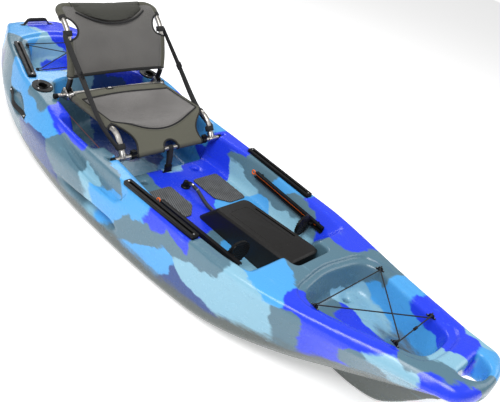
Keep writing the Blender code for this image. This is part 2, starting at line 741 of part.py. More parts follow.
def shoulder_half(y, z):
    """Half-width of the shoulder's surface at a height between the beam and the deck's edge."""
    low, high = along(BEAM_HEIGHT, y), sheer(y)
    share = min(max((z - low) / (high - low), 0.0), 1.0)
    return along(BEAM_HALF, y) + share * (along(DECK_HALF, y) - along(BEAM_HALF, y))


def handle_height(y):
    share = (y - SIDE_HANDLE_FORE) / (SIDE_HANDLE_AFT - SIDE_HANDLE_FORE)
    return SIDE_HANDLE_LOW + (SIDE_HANDLE_HIGH - SIDE_HANDLE_LOW) * share


def handle_scoop(side):
    """Finger scoop in the side behind a carry strap."""
    rings = []
    length = SIDE_HANDLE_AFT - SIDE_HANDLE_FORE
    for share in (0.01, 0.16, 0.5, 0.84, 0.99):
        y = SIDE_HANDLE_FORE + share * length
        deep = 0.002 + (SCOOP_DEPTH - 0.002) * math.sin(math.pi * share)
        z = handle_height(y)
        wall = shoulder_half(y, z)
        tall = 0.012 + 0.7 * deep
        rings.append([(side * (wall - deep), y, z + 0.8 * tall), (side * (wall - deep), y, z - 0.8 * tall),
                      (side * (wall + 0.09), y, z - tall - 0.05), (side * (wall + 0.09), y, z + tall + 0.05)])
    return loft(f"handle_scoop_{side}", rings, None)


def carry_hole():
    """D-shaped hand hole through the bow."""
    half = [(0, CARRY_HOLE_FORE), (0.052, CARRY_HOLE_FORE + 0.012), (CARRY_HOLE_HALF, CARRY_HOLE_AFT),
            (0, CARRY_HOLE_AFT - 0.004)]
    top = rounded_outline(mirrored(half), 0.030, 2)
    low = rounded_outline(mirrored([(0.9 * x, y) for x, y in half]), 0.030, 2)
    return tub("carry_hole", [(top, CUT_TOP), (top, 0.40), (low, 0.33), (low, 0.05)])


def drains():
    """Scupper holes from each floor down through the hull, with a shallow dish on top."""
    floors = [COCKPIT_FLOOR, BOW_WELL_FLOOR, STERN_WELL_FLOOR, SEAT_WELL_FLOOR]
    made = []
    for (x, y), floor in zip(SCUPPERS, floors):
        for side in (1, -1):
            profile = [(0, -0.1), (SCUPPER_RADIUS, -0.1), (SCUPPER_RADIUS, floor - 0.006),
                       (SCUPPER_RADIUS + 0.009, floor + 0.001), (SCUPPER_RADIUS + 0.009, floor + 0.02),
                       (0, floor + 0.02)]
            made.append(turned(f"scupper_{y:.2f}_{side}", profile, None, frame_at((side * x, y, 0)), 10))
    return made


def land(name, frame, outline, depth=0.05):
    """Cutter that levels the deck under a fitting, one gap below its seat."""
    return prism(name, outline, -GAP, depth, None, frame)


def build_hull():
    hull = loft("hull", [hull_ring(y) for y in stations()], "hull_plastic", sharp=28)
    cutters = []
    cutters += well("bow_well", bow_well_half(), 0.060, BOW_WELL_FLOOR, 0.030, 2)
    cutters += well("stern_well", stern_well_half(), 0.050, STERN_WELL_FLOOR, 0.022, 2)
    cutters += cockpit_cutters()
    cutters += [seat_well_cutter(), seat_pockets()]
    cutters += bar_beds()
    for side in (1, -1):
        cutters += [side_tray(side), side_scallop(side), handle_scoop(side)]
    cutters.append(carry_hole())
    cutters += drains()
    for cutter in cutters:
        cut(hull, cutter)
    return hull


# Gear tracks.
def track_frame(spot, yaw, side):
    """Frame sunk a little into the deck and pitched with it."""
    x, y = spot
    reach = 0.15
    rise = deck_point(x, y + reach).z - deck_point(x, y - reach).z
    middle = 0.5 * (deck_point(x, y - reach).z + deck_point(x, y + reach).z)
    place = Vector((x, y, min(middle, deck_point(x, y).z) - TRACK_SINK))
    return flip(frame_at(place, yaw, math.degrees(math.atan2(rise, 2 * reach))), side)


def gear_track(name, spot, yaw, length, side, hull):
    """Slotted channel with solid screwed ends, on a levelled land."""
    frame = track_frame(spot, yaw, side)
    half, wide = length / 2, TRACK_WIDTH / 2

    def outline(margin):
        x, y = wide + margin, half + margin
        return rounded_outline([(-x, -y), (x, -y), (x, y), (-x, y)], 0.008 + margin, 2)

    body = prism(name, outline(0), 0, TRACK_HEIGHT, "black_plastic", frame)
    slot, channel, roof = TRACK_SLOT / 2, TRACK_CHANNEL / 2, TRACK_HEIGHT - TRACK_LIP
    shape = [(-slot, 2 * TRACK_HEIGHT), (-slot, roof), (-channel, roof), (-channel, TRACK_LIP), (channel, TRACK_LIP),
             (channel, roof), (slot, roof), (slot, 2 * TRACK_HEIGHT)]
    run = frame @ Matrix.Rotation(math.radians(90), 4, "X")
    cut(body, prism(name + "_slot", shape, -half + TRACK_END, half - TRACK_END, None, run))
    cut(hull, land(name + "_land", frame, outline(LAND_MARGIN)))
    return body


# Rod holders.
def rod_holder(name, side, hull):
    """Oval flange with a raked tube below it, closed at the bottom."""
    x, y = ROD_HOLDER
    ground = deck_point(x, y)
    frame = flip(frame_at((x, y, ground.z - 0.004), 8.0, 3.5), side)
    oval = ellipse(ROD_FLANGE_SHORT, ROD_FLANGE_LONG, 24)
    flange = prism(name, oval, 0, ROD_FLANGE_THICK, "black_plastic", frame)
    outer = ROD_BORE + ROD_WALL
    rake = frame @ Matrix.Rotation(math.radians(ROD_RAKE), 4, "X")
    profile = [(0, -ROD_DEPTH), (outer, -ROD_DEPTH), (outer, 0.0035), (0, 0.0035)]
    stem = turned(name + "_stem", profile, None, rake, 18)
    collar = turned(name + "_collar", [(0, -0.01), (outer + 0.004, -0.01), (outer + 0.004, 0.011), (0, 0.011)],
                    None, frame, 22)
    bore = turned(name + "_bore", [(0, -ROD_DEPTH + ROD_WALL), (ROD_BORE, -ROD_DEPTH + ROD_WALL),
                                   (ROD_BORE, 0.08), (0, 0.08)], None, rake, 16)
    cut(flange, stem, "UNION")
    cut(flange, collar, "UNION")
    cut(flange, bore)
    seat = ellipse(ROD_FLANGE_SHORT + 0.0015, ROD_FLANGE_LONG + 0.0015, 24)
    cut(hull, land(name + "_land", frame, seat))
    room = turned(name + "_room", [(0, -ROD_DEPTH - GAP), (outer + GAP, -ROD_DEPTH - GAP), (outer + GAP, 0.06),
                                   (0, 0.06)], None, rake, 18)
    neck = turned(name + "_neck", [(0, -0.01 - GAP), (outer + 0.004 + GAP, -0.01 - GAP),
                                   (outer + 0.004 + GAP, 0.06), (0, 0.06)], None, frame, 22)
    cut(hull, room)
    cut(hull, neck)
    return flange


# Pad eyes and the bungee laced through them.
def eye_frame(x, y, side, heading):
    """Frame of a pad eye on a well's shelf: X outboard, Y along the rim."""
    return mirror(frame_at((x, y, shelf_height(y) - EYE_SINK), heading), side)


def eye_body(name, frame, half, hole, width, home=None):
    """Arch on a base strip: Y along the strip and the hole running along X."""
    base = EYE_BASE
    top = base + EYE_HOLE_HEIGHT + EYE_BAR
    outline = [(-half, 0), (half, 0), (half, base), (hole + 1.5 * EYE_BAR, 1.3 * base),
               (hole + EYE_BAR, top - EYE_BAR), (hole, top), (-hole, top), (-hole - EYE_BAR, top - EYE_BAR),
               (-hole - 1.5 * EYE_BAR, 1.3 * base), (-half, base)]
    chamfer = 0.5 * EYE_BAR
    gate = [(-hole, base), (hole, base), (hole, top - EYE_BAR - chamfer), (hole - chamfer, top - EYE_BAR),
            (-hole + chamfer, top - EYE_BAR), (-hole, top - EYE_BAR - chamfer)]
    turn = frame @ Matrix(((0, 0, 1, 0), (1, 0, 0, 0), (0, 1, 0, 0), (0, 0, 0, 1)))
    return prism(name, outline, -width / 2, width / 2, "black_plastic", turn, holes=[gate], home=home)


def pad_eye(name, frame, hull):
    """Pad eye on its levelled land."""
    body = eye_body(name, frame, EYE_LENGTH / 2, EYE_HOLE_HALF, EYE_WIDTH)
    long, wide = EYE_LENGTH / 2 + LAND_MARGIN, EYE_WIDTH / 2 + LAND_MARGIN
    foot = rounded_outline([(-wide, -long), (wide, -long), (wide, long), (-wide, long)], 0.002, 1)
    cut(hull, land(name + "_land", frame, foot))
    return body


def hairpin(frame, enter_low, inboard):
    """Cord's turn round an eye's bar, in the eye's frame: in on one level and out on the other."""
    level = EYE_HOLE_HEIGHT / 2 + EYE_BAR / 2
    middle = EYE_BASE + EYE_HOLE_HEIGHT + EYE_BAR / 2
    turn = [(-inboard, -level), (-EYE_WIDTH / 2, -level)]
    for k in range(5):
        angle = -math.pi / 2 + math.pi * k / 4
        turn.append((EYE_WIDTH / 2 + level * math.cos(angle), level * math.sin(angle)))
    turn += [(-EYE_WIDTH / 2, level), (-inboard, level)]
    if not enter_low:
        turn.reverse()
    return [frame @ Vector((u, 0, middle + w)) for u, w in turn]


def laced_cord(name, frames, finish="cord"):
    """Closed cord that crosses itself once between two pairs of eyes, one run above the other."""
    fore_port, fore_starboard, aft_port, aft_starboard = frames
    route = []
    for frame, low in ((aft_starboard, True), (fore_port, False), (fore_starboard, False), (aft_port, True)):
        route += hairpin(frame, low, 0.014)
    return tube(name, route, CORD_RADIUS, finish, rounds=2, cyclic=True)


def deck_lacing(name, spots, heading, hull):
    frames = {}
    for end, (x, y) in zip(("fore", "aft"), spots):
        for side, word in ((1, "port"), (-1, "starboard")):
            frames[end, word] = eye_frame(x, y, side, heading)
            pad_eye(f"{name}_eye_{end}_{word}", frames[end, word], hull)
    order = [("fore", "port"), ("fore", "starboard"), ("aft", "port"), ("aft", "starboard")]
    laced_cord(f"{name}_bungee", [frames[key] for key in order])


# Seat.
def rail_points(side):
    """Centre line of a seat side rail: up from the tee, back along the pan, down to its bracket."""
    x = side * RAIL_HALF
    lean = Vector((0, RAIL_FRONT_TOP[0] - FRONT_BAR[0] - 0.030, RAIL_FRONT_TOP[1] - FRONT_BAR[1])).normalized()
    start = Vector((x, *FRONT_BAR)) + lean * (BAR_RADIUS + TEE_WALL + 0.002)
    corner = Vector((x, RAIL_FRONT_TOP[0] - 0.030, RAIL_FRONT_TOP[1]))
    return rounded_path([start, corner, Vector((x, *RAIL_REAR))], 0.045, 5)


def build_cross_bar(name, place, home):
    y, z = place
    tube(name, [(-BAR_HALF, y, z), (BAR_HALF, y, z)], BAR_RADIUS, "aluminium", rounds=4, home=home)
    for side, word in ((1, "port"), (-1, "starboard")):
        axis = frame_along((side * (BAR_HALF - CAP_LENGTH), y, z), (side * BAR_HALF, y, z))
        bore, skin = BAR_RADIUS + GAP, BAR_RADIUS + CAP_WALL
        profile = [(bore, 0), (skin, 0), (skin, CAP_LENGTH + 0.002), (skin - 0.002, CAP_LENGTH + 0.004),
                   (0, CAP_LENGTH + 0.004), (0, CAP_LENGTH + GAP), (bore, CAP_LENGTH + GAP)]
        turned(f"{name}_cap_{word}", profile, "black_plastic", axis, 14, home)


def tee(name, side, home):
    """Cast tee: a sleeve round the front bar with a raised socket for the leg."""
    x = side * RAIL_HALF
    y, z = FRONT_BAR
    rail = rail_points(side)
    lean = (rail[1] - rail[0]).normalized()
    axis = frame_along((x - TEE_LENGTH / 2, y, z), (x + TEE_LENGTH / 2, y, z))
    skin = BAR_RADIUS + TEE_WALL
    sleeve = turned(name, [(0, 0), (skin, 0), (skin, TEE_LENGTH), (0, TEE_LENGTH)], "steel", axis, 20, home)
    upright = frame_along((x, y, z), Vector((x, y, z)) + lean, (0, 1, 0))
    socket_skin = TUBE_RADIUS + TEE_WALL * 0.7
    socket = turned(name + "_socket", [(0, 0), (socket_skin, 0), (socket_skin, skin + TEE_SOCKET),
                                       (0, skin + TEE_SOCKET)], None, upright, 20, home)
    cut(sleeve, socket, "UNION")
    bore(name + "_bar_bore", sleeve, [(x - TEE_LENGTH, y, z), (x + TEE_LENGTH, y, z)], BAR_RADIUS, home)
    bore(name + "_leg_bore", sleeve, [rail[0] - lean * GAP, rail[0] + lean * 2 * TEE_LENGTH], TUBE_RADIUS, home)


def clamp(name, side, home):
    """Black ring clamp with a lug, on the front bar inboard of a tee."""
    y, z = FRONT_BAR
    x = side * CLAMP_HALF - CLAMP_LENGTH / 2
    inner, outer = BAR_RADIUS + GAP, BAR_RADIUS + CLAMP_WALL
    ring = [(outer * math.cos(a), outer * math.sin(a)) for a in
            [math.radians(130 + 280 * k / 10) for k in range(11)]]
    spread = outer * math.cos(math.radians(50))
    lug = [(spread, outer + 0.012), (-spread, outer + 0.012)]
    hole = [(inner * math.cos(2 * math.pi * k / 16), inner * math.sin(2 * math.pi * k / 16)) for k in range(16)]
    turn = Matrix(((0, 0, 1, x), (1, 0, 0, y), (0, 1, 0, z), (0, 0, 0, 1)))
    prism(name, ring + lug, 0, CLAMP_LENGTH, "black_plastic", turn, holes=[hole], home=home)


def hem_ring(path_point, normal, half, roll, sheet, sag):
    """Section of a cloth panel across the boat: a thin sheet with a roll along each side."""
    ring = []
    for side in (1, -1):
        for k in range(7):
            angle = math.radians(-90 + 180 * k / 6)
            u, v = roll * math.cos(angle), roll * math.sin(angle)
            ring.append((side * (half + u), side * v))
        if side > 0:
            ring += [(half - 1.2 * roll, sheet)]
            ring += [(half * share, sheet - sag * (1 - share**2)) for share in (0.6, 0.2, -0.2, -0.6)]
            ring += [(-half + 1.2 * roll, sheet)]
        else:
            ring += [(-half + 1.2 * roll, -sheet)]
            ring += [(half * share, -sheet - sag * (1 - share**2)) for share in (-0.6, -0.2, 0.2, 0.6)]
            ring += [(half - 1.2 * roll, -sheet)]
    return [Vector((u, path_point[0], path_point[1])) + normal * v for u, v in ring]


def panel(name, path, half, roll, sheet, sags, finish, home):
    """Cloth panel lofted along a (y, z) path, its normal square to the path."""
    rings = []
    for i, place in enumerate(path):
        before, after = path[max(i - 1, 0)], path[min(i + 1, len(path) - 1)]
        run = Vector((0, after[0] - before[0], after[1] - before[1])).normalized()
        normal = Vector((1, 0, 0)).cross(run)
        rings.append(hem_ring(place, normal, half, roll, sheet, sags[i]))
    return loft(name, rings, finish, home)


def build_sling(home):
    """Seat pan: mesh cloth slung between the side rails, each rail lying in a hem."""
    front = (RAIL_FRONT_TOP[0] + 0.014, RAIL_FRONT_TOP[1])
    rear = (RAIL_REAR[0] - 0.032, RAIL_REAR[1] + 0.001)
    path, sags = [], []
    for k in range(7):
        share = k / 6
        path.append((front[0] + share * (rear[0] - front[0]), front[1] + share * (rear[1] - front[1])))
        sags.append(SEAT_SAG * (0.45 + 0.55 * math.sin(math.pi * share)))
    sling = panel("seat_sling", path, RAIL_HALF, TUBE_RADIUS + CLOTH_THICK, CLOTH_THICK / 2, sags, "mesh_cloth", home)
    for side in (1, -1):
        bore(f"sling_bore_{side}", sling, rail_points(side), TUBE_RADIUS, home)


def build_front_panel(home):
    """Front panel: from the pan's front edge down to the front bar, waisted at its sides, hemmed on the bar."""
    top = Vector((0, RAIL_FRONT_TOP[0] + 0.004, RAIL_FRONT_TOP[1] - 0.004))
    bar = Vector((0, *FRONT_BAR))
    hem = BAR_RADIUS + CLOTH_THICK
    down = (bar - top).normalized()
    out = Vector((1, 0, 0)).cross(down)
    thick = CLOTH_THICK / 2
    wide = RAIL_HALF - PANEL_INSET
    half = CLAMP_HALF - CLAMP_LENGTH / 2 - 0.004
    steps = 8
    rings = []
    for k in range(steps + 1):
        share = k / steps
        centre = top + (bar - top) * share
        waist = wide + (half - 0.002 - wide) * share - PANEL_WAIST * math.sin(math.pi * share)
        sag = SEAT_SAG * FRONT_SAG_SHARE * (1 - share)
        row = [(waist * s, thick - sag * (1 - s * s)) for s in (1, 0.5, 0, -0.5, -1)]
        row += [(waist * s, -thick - sag * (1 - s * s)) for s in (-1, -0.5, 0, 0.5, 1)]
        rings.append([centre + Vector((u, 0, 0)) + out * v for u, v in row])
    sheet = loft("seat_front_panel", rings, "khaki_cloth", home)
    axis = frame_along((-half, *FRONT_BAR), (half, *FRONT_BAR))
    roll = turned("front_hem", [(0, 0), (hem, 0), (hem, 2 * half), (0, 2 * half)], None, axis, 16, home)
    cut(sheet, roll, "UNION")
    bore("front_hem_bore", sheet, [(-BAR_HALF, *FRONT_BAR), (BAR_HALF, *FRONT_BAR)], BAR_RADIUS, home)
    wide, low, high = MOUTH_HALF, -2 * hem, MOUTH_RISE
    mouth = rounded_outline([(-wide, low), (wide, low), (0.85 * wide, high), (-0.85 * wide, high)], 0.020)
    face = Matrix.Translation(bar) @ Matrix(((1, 0, 0, 0), (0, -down.y, out.y, 0), (0, -down.z, out.z, 0),
                                             (0, 0, 0, 1)))
    cut(sheet, prism("front_mouth", mouth, -0.05, 0.05, None, face, home=home))


def build_hold_down(home):
    """Webbing looped over the front bar, down to a buckle that hooks the anchor on the floor."""
    y, z = FRONT_BAR
    anchor_top = COCKPIT_FLOOR + GAP + EYE_BASE + EYE_HOLE_HEIGHT + EYE_BAR
    low = anchor_top + GAP
    high = low + HOLD_BUCKLE_RISE
    reach = BAR_RADIUS + 0.001 + STRAP_THICK / 2
    loop = [(0, ANCHOR_Y + 0.007, high + GAP), (0, y + reach, z - 0.03)]
    loop += [(0, y + reach * math.cos(math.pi * k / 8), z + reach * math.sin(math.pi * k / 8)) for k in range(9)]
    loop += [(0, y - reach, z - 0.03), (0, ANCHOR_Y - 0.007, high + GAP)]
    ribbon("hold_down_strap", loop, STRAP_WIDTH, STRAP_THICK, (1, 0, 0), "webbing", home)
    wide, deep = 0.65 * STRAP_WIDTH, 0.010
    body = rounded_outline([(-wide, -deep), (wide, -deep), (wide, deep), (-wide, deep)], 0.004, 2)
    prism("hold_down_buckle", body, low, high, "black_plastic", frame_at((0, ANCHOR_Y, 0)), home=home)


def build_anchor():
    """Wide pad eye screwed to the cockpit's floor under the front bar."""
    frame = frame_at((0, ANCHOR_Y, COCKPIT_FLOOR + GAP), 90)
    eye_body("hold_down_anchor", frame, 0.026, 0.0135, 0.010)


def build_seat():
    home = pivot("seat_lift", (0, 0.36, 0.35))
    build_cross_bar("front_bar", FRONT_BAR, home)
    build_cross_bar("rear_bar", REAR_BAR, home)
    for side, word in ((1, "port"), (-1, "starboard")):
        tube(f"seat_rail_{word}", rail_points(side), TUBE_RADIUS, "aluminium", rounds=4, home=home)
        tee(f"front_tee_{word}", side, home)
        clamp(f"front_clamp_{word}", side, home)
        hinge_bracket(f"hinge_bracket_{word}", side, home)
    build_sling(home)
    build_front_panel(home)
    build_hold_down(home)
    return home


def hinge_bracket(name, side, home):
    """Forked bracket: clasps the rear bar, sockets the rail's end and carries the backrest's pin."""
    y0, z0 = REAR_BAR
    hinge_y, hinge_z = HINGE
    rail_y, rail_z = RAIL_REAR
    skin = BAR_RADIUS + TEE_WALL
    sleeve = TUBE_RADIUS + TEE_WALL
    half = TUBE_RADIUS + BRACKET_CLEARANCE + BRACKET_THICK
    cheek = PIN_RADIUS + 0.006
    outline = [(rail_y - sleeve, rail_z + sleeve), (rail_y + 0.004, rail_z + sleeve),
               (hinge_y - cheek, hinge_z + cheek), (hinge_y + cheek, hinge_z + cheek), (y0 + skin, z0 + 0.5 * skin),
               (y0 + skin, z0 - skin), (y0 - skin, z0 - skin), (rail_y - sleeve, rail_z - sleeve)]
    turn = mirror(Matrix(((0, 0, 1, RAIL_HALF - half), (1, 0, 0, 0), (0, 1, 0, 0), (0, 0, 0, 1))), side)
    body = prism(name, rounded_outline(outline, 0.004, 1), 0, 2 * half, "steel", turn, home=home)
    over_rail = rail_z + TUBE_RADIUS + 2 * GAP
    gate = [(rail_y + 0.002, z0 + skin), (y0 + 0.05, z0 + skin), (y0 + 0.05, CUT_TOP), (rail_y - 0.030, CUT_TOP),
            (rail_y - 0.030, over_rail), (rail_y + 0.002, over_rail)]
    cut(body, prism(name + "_gate", gate, BRACKET_THICK, 2 * half - BRACKET_THICK, None, turn, home=home))
    bore(name + "_bore", body, [(side * 0.19, y0, z0), (side * BAR_HALF, y0, z0)], BAR_RADIUS, home)
    rail = rail_points(side)
    lean = (rail[-1] - rail[-2]).normalized()
    bore(name + "_socket", body, [rail[-1] - lean * 2 * TEE_LENGTH, rail[-1] + lean * GAP], TUBE_RADIUS, home)
    pin = turned(name + "_pin", [(0, -0.004), (PIN_HEAD, -0.004), (PIN_HEAD, 0.001), (PIN_RADIUS, 0.001),
                                 (PIN_RADIUS, 2 * half - 0.001), (PIN_HEAD, 2 * half - 0.001),
                                 (PIN_HEAD, 2 * half + 0.004), (0, 2 * half + 0.004)], None,
                 mirror(frame_along((RAIL_HALF - half, *HINGE), (RAIL_HALF + half, *HINGE)), side), 16, home)
    cut(body, pin, "UNION")


# Backrest.
def back_points():
    """Centre line of the backrest's bent tube, up one side, across the top and down the other."""
    y, z = BACK_PROFILE[-1]
    rise = smooth_path([(RAIL_HALF, *p) for p in [HINGE_END] + BACK_PROFILE], 2)
    corner = fillet(rise[-2], (RAIL_HALF, y, z), (0, y, z), BACK_CORNER, 4)
    port = rise[:-2] + corner
    return port + [Vector((-p.x, p.y, p.z)) for p in reversed(port)]


def back_place(z, offset):
    """Point in front of the backrest's side profile at a height, as (y, z)."""
    line = [(height, y) for y, height in BACK_PROFILE[1:]]
    step = 0.004
    run = Vector((0, along(line, z + step) - along(line, z - step), 2 * step)).normalized()
    normal = Vector((1, 0, 0)).cross(run)
    return along(line, z) + normal.y * offset, z + normal.z * offset


def build_sleeve(line, home):
    """Mesh sleeve on the backrest's tube, with a D-shaped cut-out in each top corner."""
    profile = smooth_path([(*p, 0) for p in BACK_PROFILE[1:]], 2)
    path = [(p.x, p.y) for p in profile][:-1]
    last = len(path) - 1
    sags = [0.010 * math.sin(math.pi * min(0.8 * i / last + 0.1, 1)) for i in range(last + 1)]
    roll = TUBE_RADIUS + CLOTH_THICK
    sleeve = panel("backrest_sleeve", path, RAIL_HALF, roll, CLOTH_THICK / 2, sags, "mesh_cloth", home)
    bore("sleeve_bore", sleeve, line, TUBE_RADIUS, home, 3)
    for side in (1, -1):
        outline = rounded_outline([(CUTOUT_INNER, CUT_TOP + 0.3), (CUTOUT_INNER, CUTOUT_LOW + 0.02),
                                   (CUTOUT_INNER + 0.02, CUTOUT_LOW), (RAIL_HALF + 0.05, CUTOUT_LOW),
                                   (RAIL_HALF + 0.05, CUT_TOP + 0.3)], 0.012, 2)
        turn = mirror(Matrix(((1, 0, 0, 0), (0, 0, 1, 0.5), (0, 1, 0, 0), (0, 0, 0, 1))), side)
        cut(sleeve, prism(f"sleeve_cutout_{side}", outline, 0, 0.4, None, turn, home=home))


def build_headrest(line, home):
    """Padded headrest: a roll round the top tube and a crowned flap sagging in front of the sleeve."""
    y, z = BACK_PROFILE[-1]
    roll = TUBE_RADIUS + CLOTH_THICK
    top = z - 0.004
    rings = []
    for k in range(9):
        share = -1 + 2 * k / 8
        x = HEADREST_HALF * share
        low = HEADREST_LOW + (top - 0.008 - HEADREST_LOW) * share**2
        front = HEADREST_THICK * (1 - 0.5 * share**2)
        levels = [low, low + 0.35 * (top - low), top]
        back = [back_place(level, CLOTH_THICK) for level in levels]
        face = [back_place(level, CLOTH_THICK + front * grow) for level, grow in zip(levels, (0.45, 1.0, 0.8))]
        rings.append([(x, *p) for p in back + face[::-1]])
    pad = loft("headrest_panel", rings, "khaki_cloth", home)
    axis = frame_along((-HEADREST_HALF, y, z), (HEADREST_HALF, y, z))
    length = 2 * HEADREST_HALF
    profile = [(0, 0), (roll, 0), (roll, length), (0, length)]
    cut(pad, turned("headrest_roll", profile, None, axis, 16, home), "UNION")
    bore("headrest_bore", pad, line, TUBE_RADIUS, home, 3)


def strap_route():
    """Strap's centre line from the backrest's tube to the leg, as (y, z)."""
    lean = Vector((RAIL_FRONT_TOP[0] - FRONT_BAR[0] - 0.030, RAIL_FRONT_TOP[1] - FRONT_BAR[1])).normalized()
    leg = (FRONT_BAR[0] + lean.x * STRAP_LEG_RISE, FRONT_BAR[1] + lean.y * STRAP_LEG_RISE)
    return [STRAP_TOP] + STRAP_ROUTE + [leg], lean


def strap_half():
    """Distance of the straps' middle from the centre plane: they run just outside the covered tubes."""
    return RAIL_HALF + TUBE_RADIUS + CLOTH_THICK + BUCKLE_WALL + STRAP_THICK / 2 + 2 * GAP


def back_strap(name, side, line, home):
    """Webbing strap with a doubled loop on the backrest's tube and another on the rail's leg."""
    route, lean = strap_route()
    out = strap_half()
    run = smooth_path([(side * out, *p) for p in route], 4)
    strap = ribbon(name, run, STRAP_WIDTH, STRAP_THICK, (0, -0.59, 0.81), "webbing", home)
    loop = out - RAIL_HALF
    low, high = BACK_PROFILE[2], BACK_PROFILE[4]
    top = Vector((0, high[0] - low[0], high[1] - low[1])).normalized()
    for end, place, along_tube, path in (("top", route[0], top, line),
                                         ("leg", route[-1], Vector((0, *lean)), rail_points(side))):
        middle = Vector((side * RAIL_HALF, *place))
        half = along_tube * STRAP_WIDTH / 2
        axis = frame_along(middle - half, middle + half, (1, 0, 0))
        profile = [(0, 0), (loop, 0), (loop, STRAP_WIDTH), (0, STRAP_WIDTH)]
        ring = turned(f"{name}_{end}", profile, None, axis, 14, home)
        cut(strap, ring, "UNION")
        bore(f"{name}_{end}_bore", strap, path, TUBE_RADIUS, home, 3 if end == "top" else 4)


def strap_buckle(name, side, home):
    """Ladder-lock buckle round the strap."""
    route, _ = strap_route()
    out = strap_half()
    start, end = Vector((out, *route[0])), Vector((out, *route[2]))
    run = (end - start).normalized()
    middle = Vector((out, *route[1]))
    half = run * BUCKLE_LENGTH / 2
    frame = mirror(frame_along(middle - half, middle + half, (1, 0, 0)), side)
    across, thick = STRAP_WIDTH / 2 + 0.001, STRAP_THICK / 2 + GAP
    gate = [(-across, -thick), (across, -thick), (across, thick), (-across, thick)]
    wide, deep = across + 0.004, thick + BUCKLE_WALL
    outline = [(-wide, -deep), (wide, -deep), (wide, deep), (-wide, deep)]
    prism(name, outline, 0, BUCKLE_LENGTH, "black_plastic", frame, holes=[gate], home=home)


def build_backrest(seat):
    home = pivot("backrest_hinge", (0, *HINGE))
    line = back_points()
    curve = tube_curve("backrest_frame", line, TUBE_RADIUS)
    frame = keep("backrest_frame", meshed("backrest_frame", curve), "aluminium", home)
    reach = RAIL_HALF + 2 * TUBE_RADIUS
    cross = frame_along((-reach, *HINGE), (reach, *HINGE))
    hole = PIN_RADIUS + PIN_CLEARANCE
    cut(frame, turned("pin_hole", [(0, 0), (hole, 0), (hole, 2 * reach), (0, 2 * reach)], None, cross, 16, home))
    build_sleeve(line, home)
    build_headrest(line, home)
    for side, word in ((1, "port"), (-1, "starboard")):
        back_strap(f"back_strap_{word}", side, line, seat)
        strap_buckle(f"strap_buckle_{word}", side, home)


# Foot braces.
def brace_frame(side):
    """Frame on a rail's back at its fore end: X inboard, Y up and Z aft along the rail."""
    return mirror(frame_along(BRACE_FORE, BRACE_AFT), side)


def foot_rail(name, side, hull):
    """Slotted C-section rail on two bosses let into the side wall."""
    frame = brace_frame(side)
    length = (Vector(BRACE_AFT) - Vector(BRACE_FORE)).length
    tall, deep, wall, slot = BRACE_HALF_HEIGHT, BRACE_DEPTH, BRACE_WALL, BRACE_SLOT
    upper = [(deep, slot), (deep - wall, slot), (deep - wall, tall - wall), (wall, tall - wall)]
    outline = [(0, tall), (deep, tall)] + upper + [(x, -y) for x, y in reversed(upper)] + [(deep, -tall), (0, -tall)]
    rail = prism(name, outline, 0, length, "black_plastic", frame)
    radius, reach = BRACE_BOSS
    for spot in (0.045, length - 0.020):
        turn = frame @ Matrix.Translation((0, 0, spot)) @ Matrix.Rotation(math.radians(-90), 4, "Y")
        boss = [(0, -0.5 * wall), (radius, -0.5 * wall), (radius, reach), (0, reach)]
        cut(rail, turned(f"{name}_boss_{spot:.2f}", boss, None, turn, 14), "UNION")
        room = [(0, -wall), (radius + GAP, -wall), (radius + GAP, reach + GAP), (0, reach + GAP)]
        cut(hull, turned(f"{name}_room_{spot:.2f}", room, None, turn, 14))
    edge = tall + LAND_MARGIN
    seat = [(-GAP, -edge), (0.12, -edge), (0.12, edge), (-GAP, edge)]
    cut(hull, prism(name + "_seat", seat, -LAND_MARGIN, length + LAND_MARGIN, None, frame))
    return rail


def foot_pedal(name, side, home):
    """Ribbed oval pedal on a slider that runs in the rail's slot and on the twist rod."""
    frame = brace_frame(side) @ Matrix.Translation((0, 0, PEDAL_PLACE))
    half = PEDAL_THICK / 2
    ribs = [(-half, -PEDAL_HALF_HEIGHT), (-half, PEDAL_HALF_HEIGHT)]
    pitch = 2 * PEDAL_HALF_HEIGHT / PEDAL_RIBS
    for k in range(PEDAL_RIBS):
        top = PEDAL_HALF_HEIGHT - k * pitch
        ribs += [(half, top), (half, top - 0.55 * pitch), (half - 0.003, top - 0.7 * pitch),
                 (half - 0.003, top - 0.98 * pitch)]
    inner, outer = PEDAL_OUT - PEDAL_HALF_WIDTH, PEDAL_OUT + PEDAL_HALF_WIDTH
    side_on = frame @ Matrix(((0, 0, 1, 0), (0, 1, 0, 0), (1, 0, 0, 0), (0, 0, 0, 1)))
    plate = prism(name, ribs, inner, outer, "black_plastic", side_on, home=home)
    oval = [(x + PEDAL_OUT, y) for x, y in ellipse(PEDAL_HALF_WIDTH, PEDAL_HALF_HEIGHT, 20)]
    cut(plate, prism(name + "_oval", oval, -0.03, 0.03, None, frame, home=home), "INTERSECT")
    room, neck = BRACE_WALL + SLIDE_CLEARANCE, BRACE_SLOT - 2 * SLIDE_CLEARANCE
    deep, tall = BRACE_DEPTH - room, BRACE_HALF_HEIGHT - room
    shape = [(room, tall), (deep, tall), (deep, neck), (inner + 0.014, neck), (inner + 0.014, -neck), (deep, -neck),
             (deep, -tall), (room, -tall)]
    cut(plate, prism(name + "_slider", shape, -0.018, 0.018, None, frame, home=home), "UNION")
    hole = ROD_RADIUS + SLIDE_CLEARANCE
    turn = frame @ Matrix.Translation((ROD_DEPTH_IN_RAIL, 0, -0.03))
    cut(plate, turned(name + "_rod_hole", [(0, 0), (hole, 0), (hole, 0.06), (0, 0.06)], None, turn, 16, home))


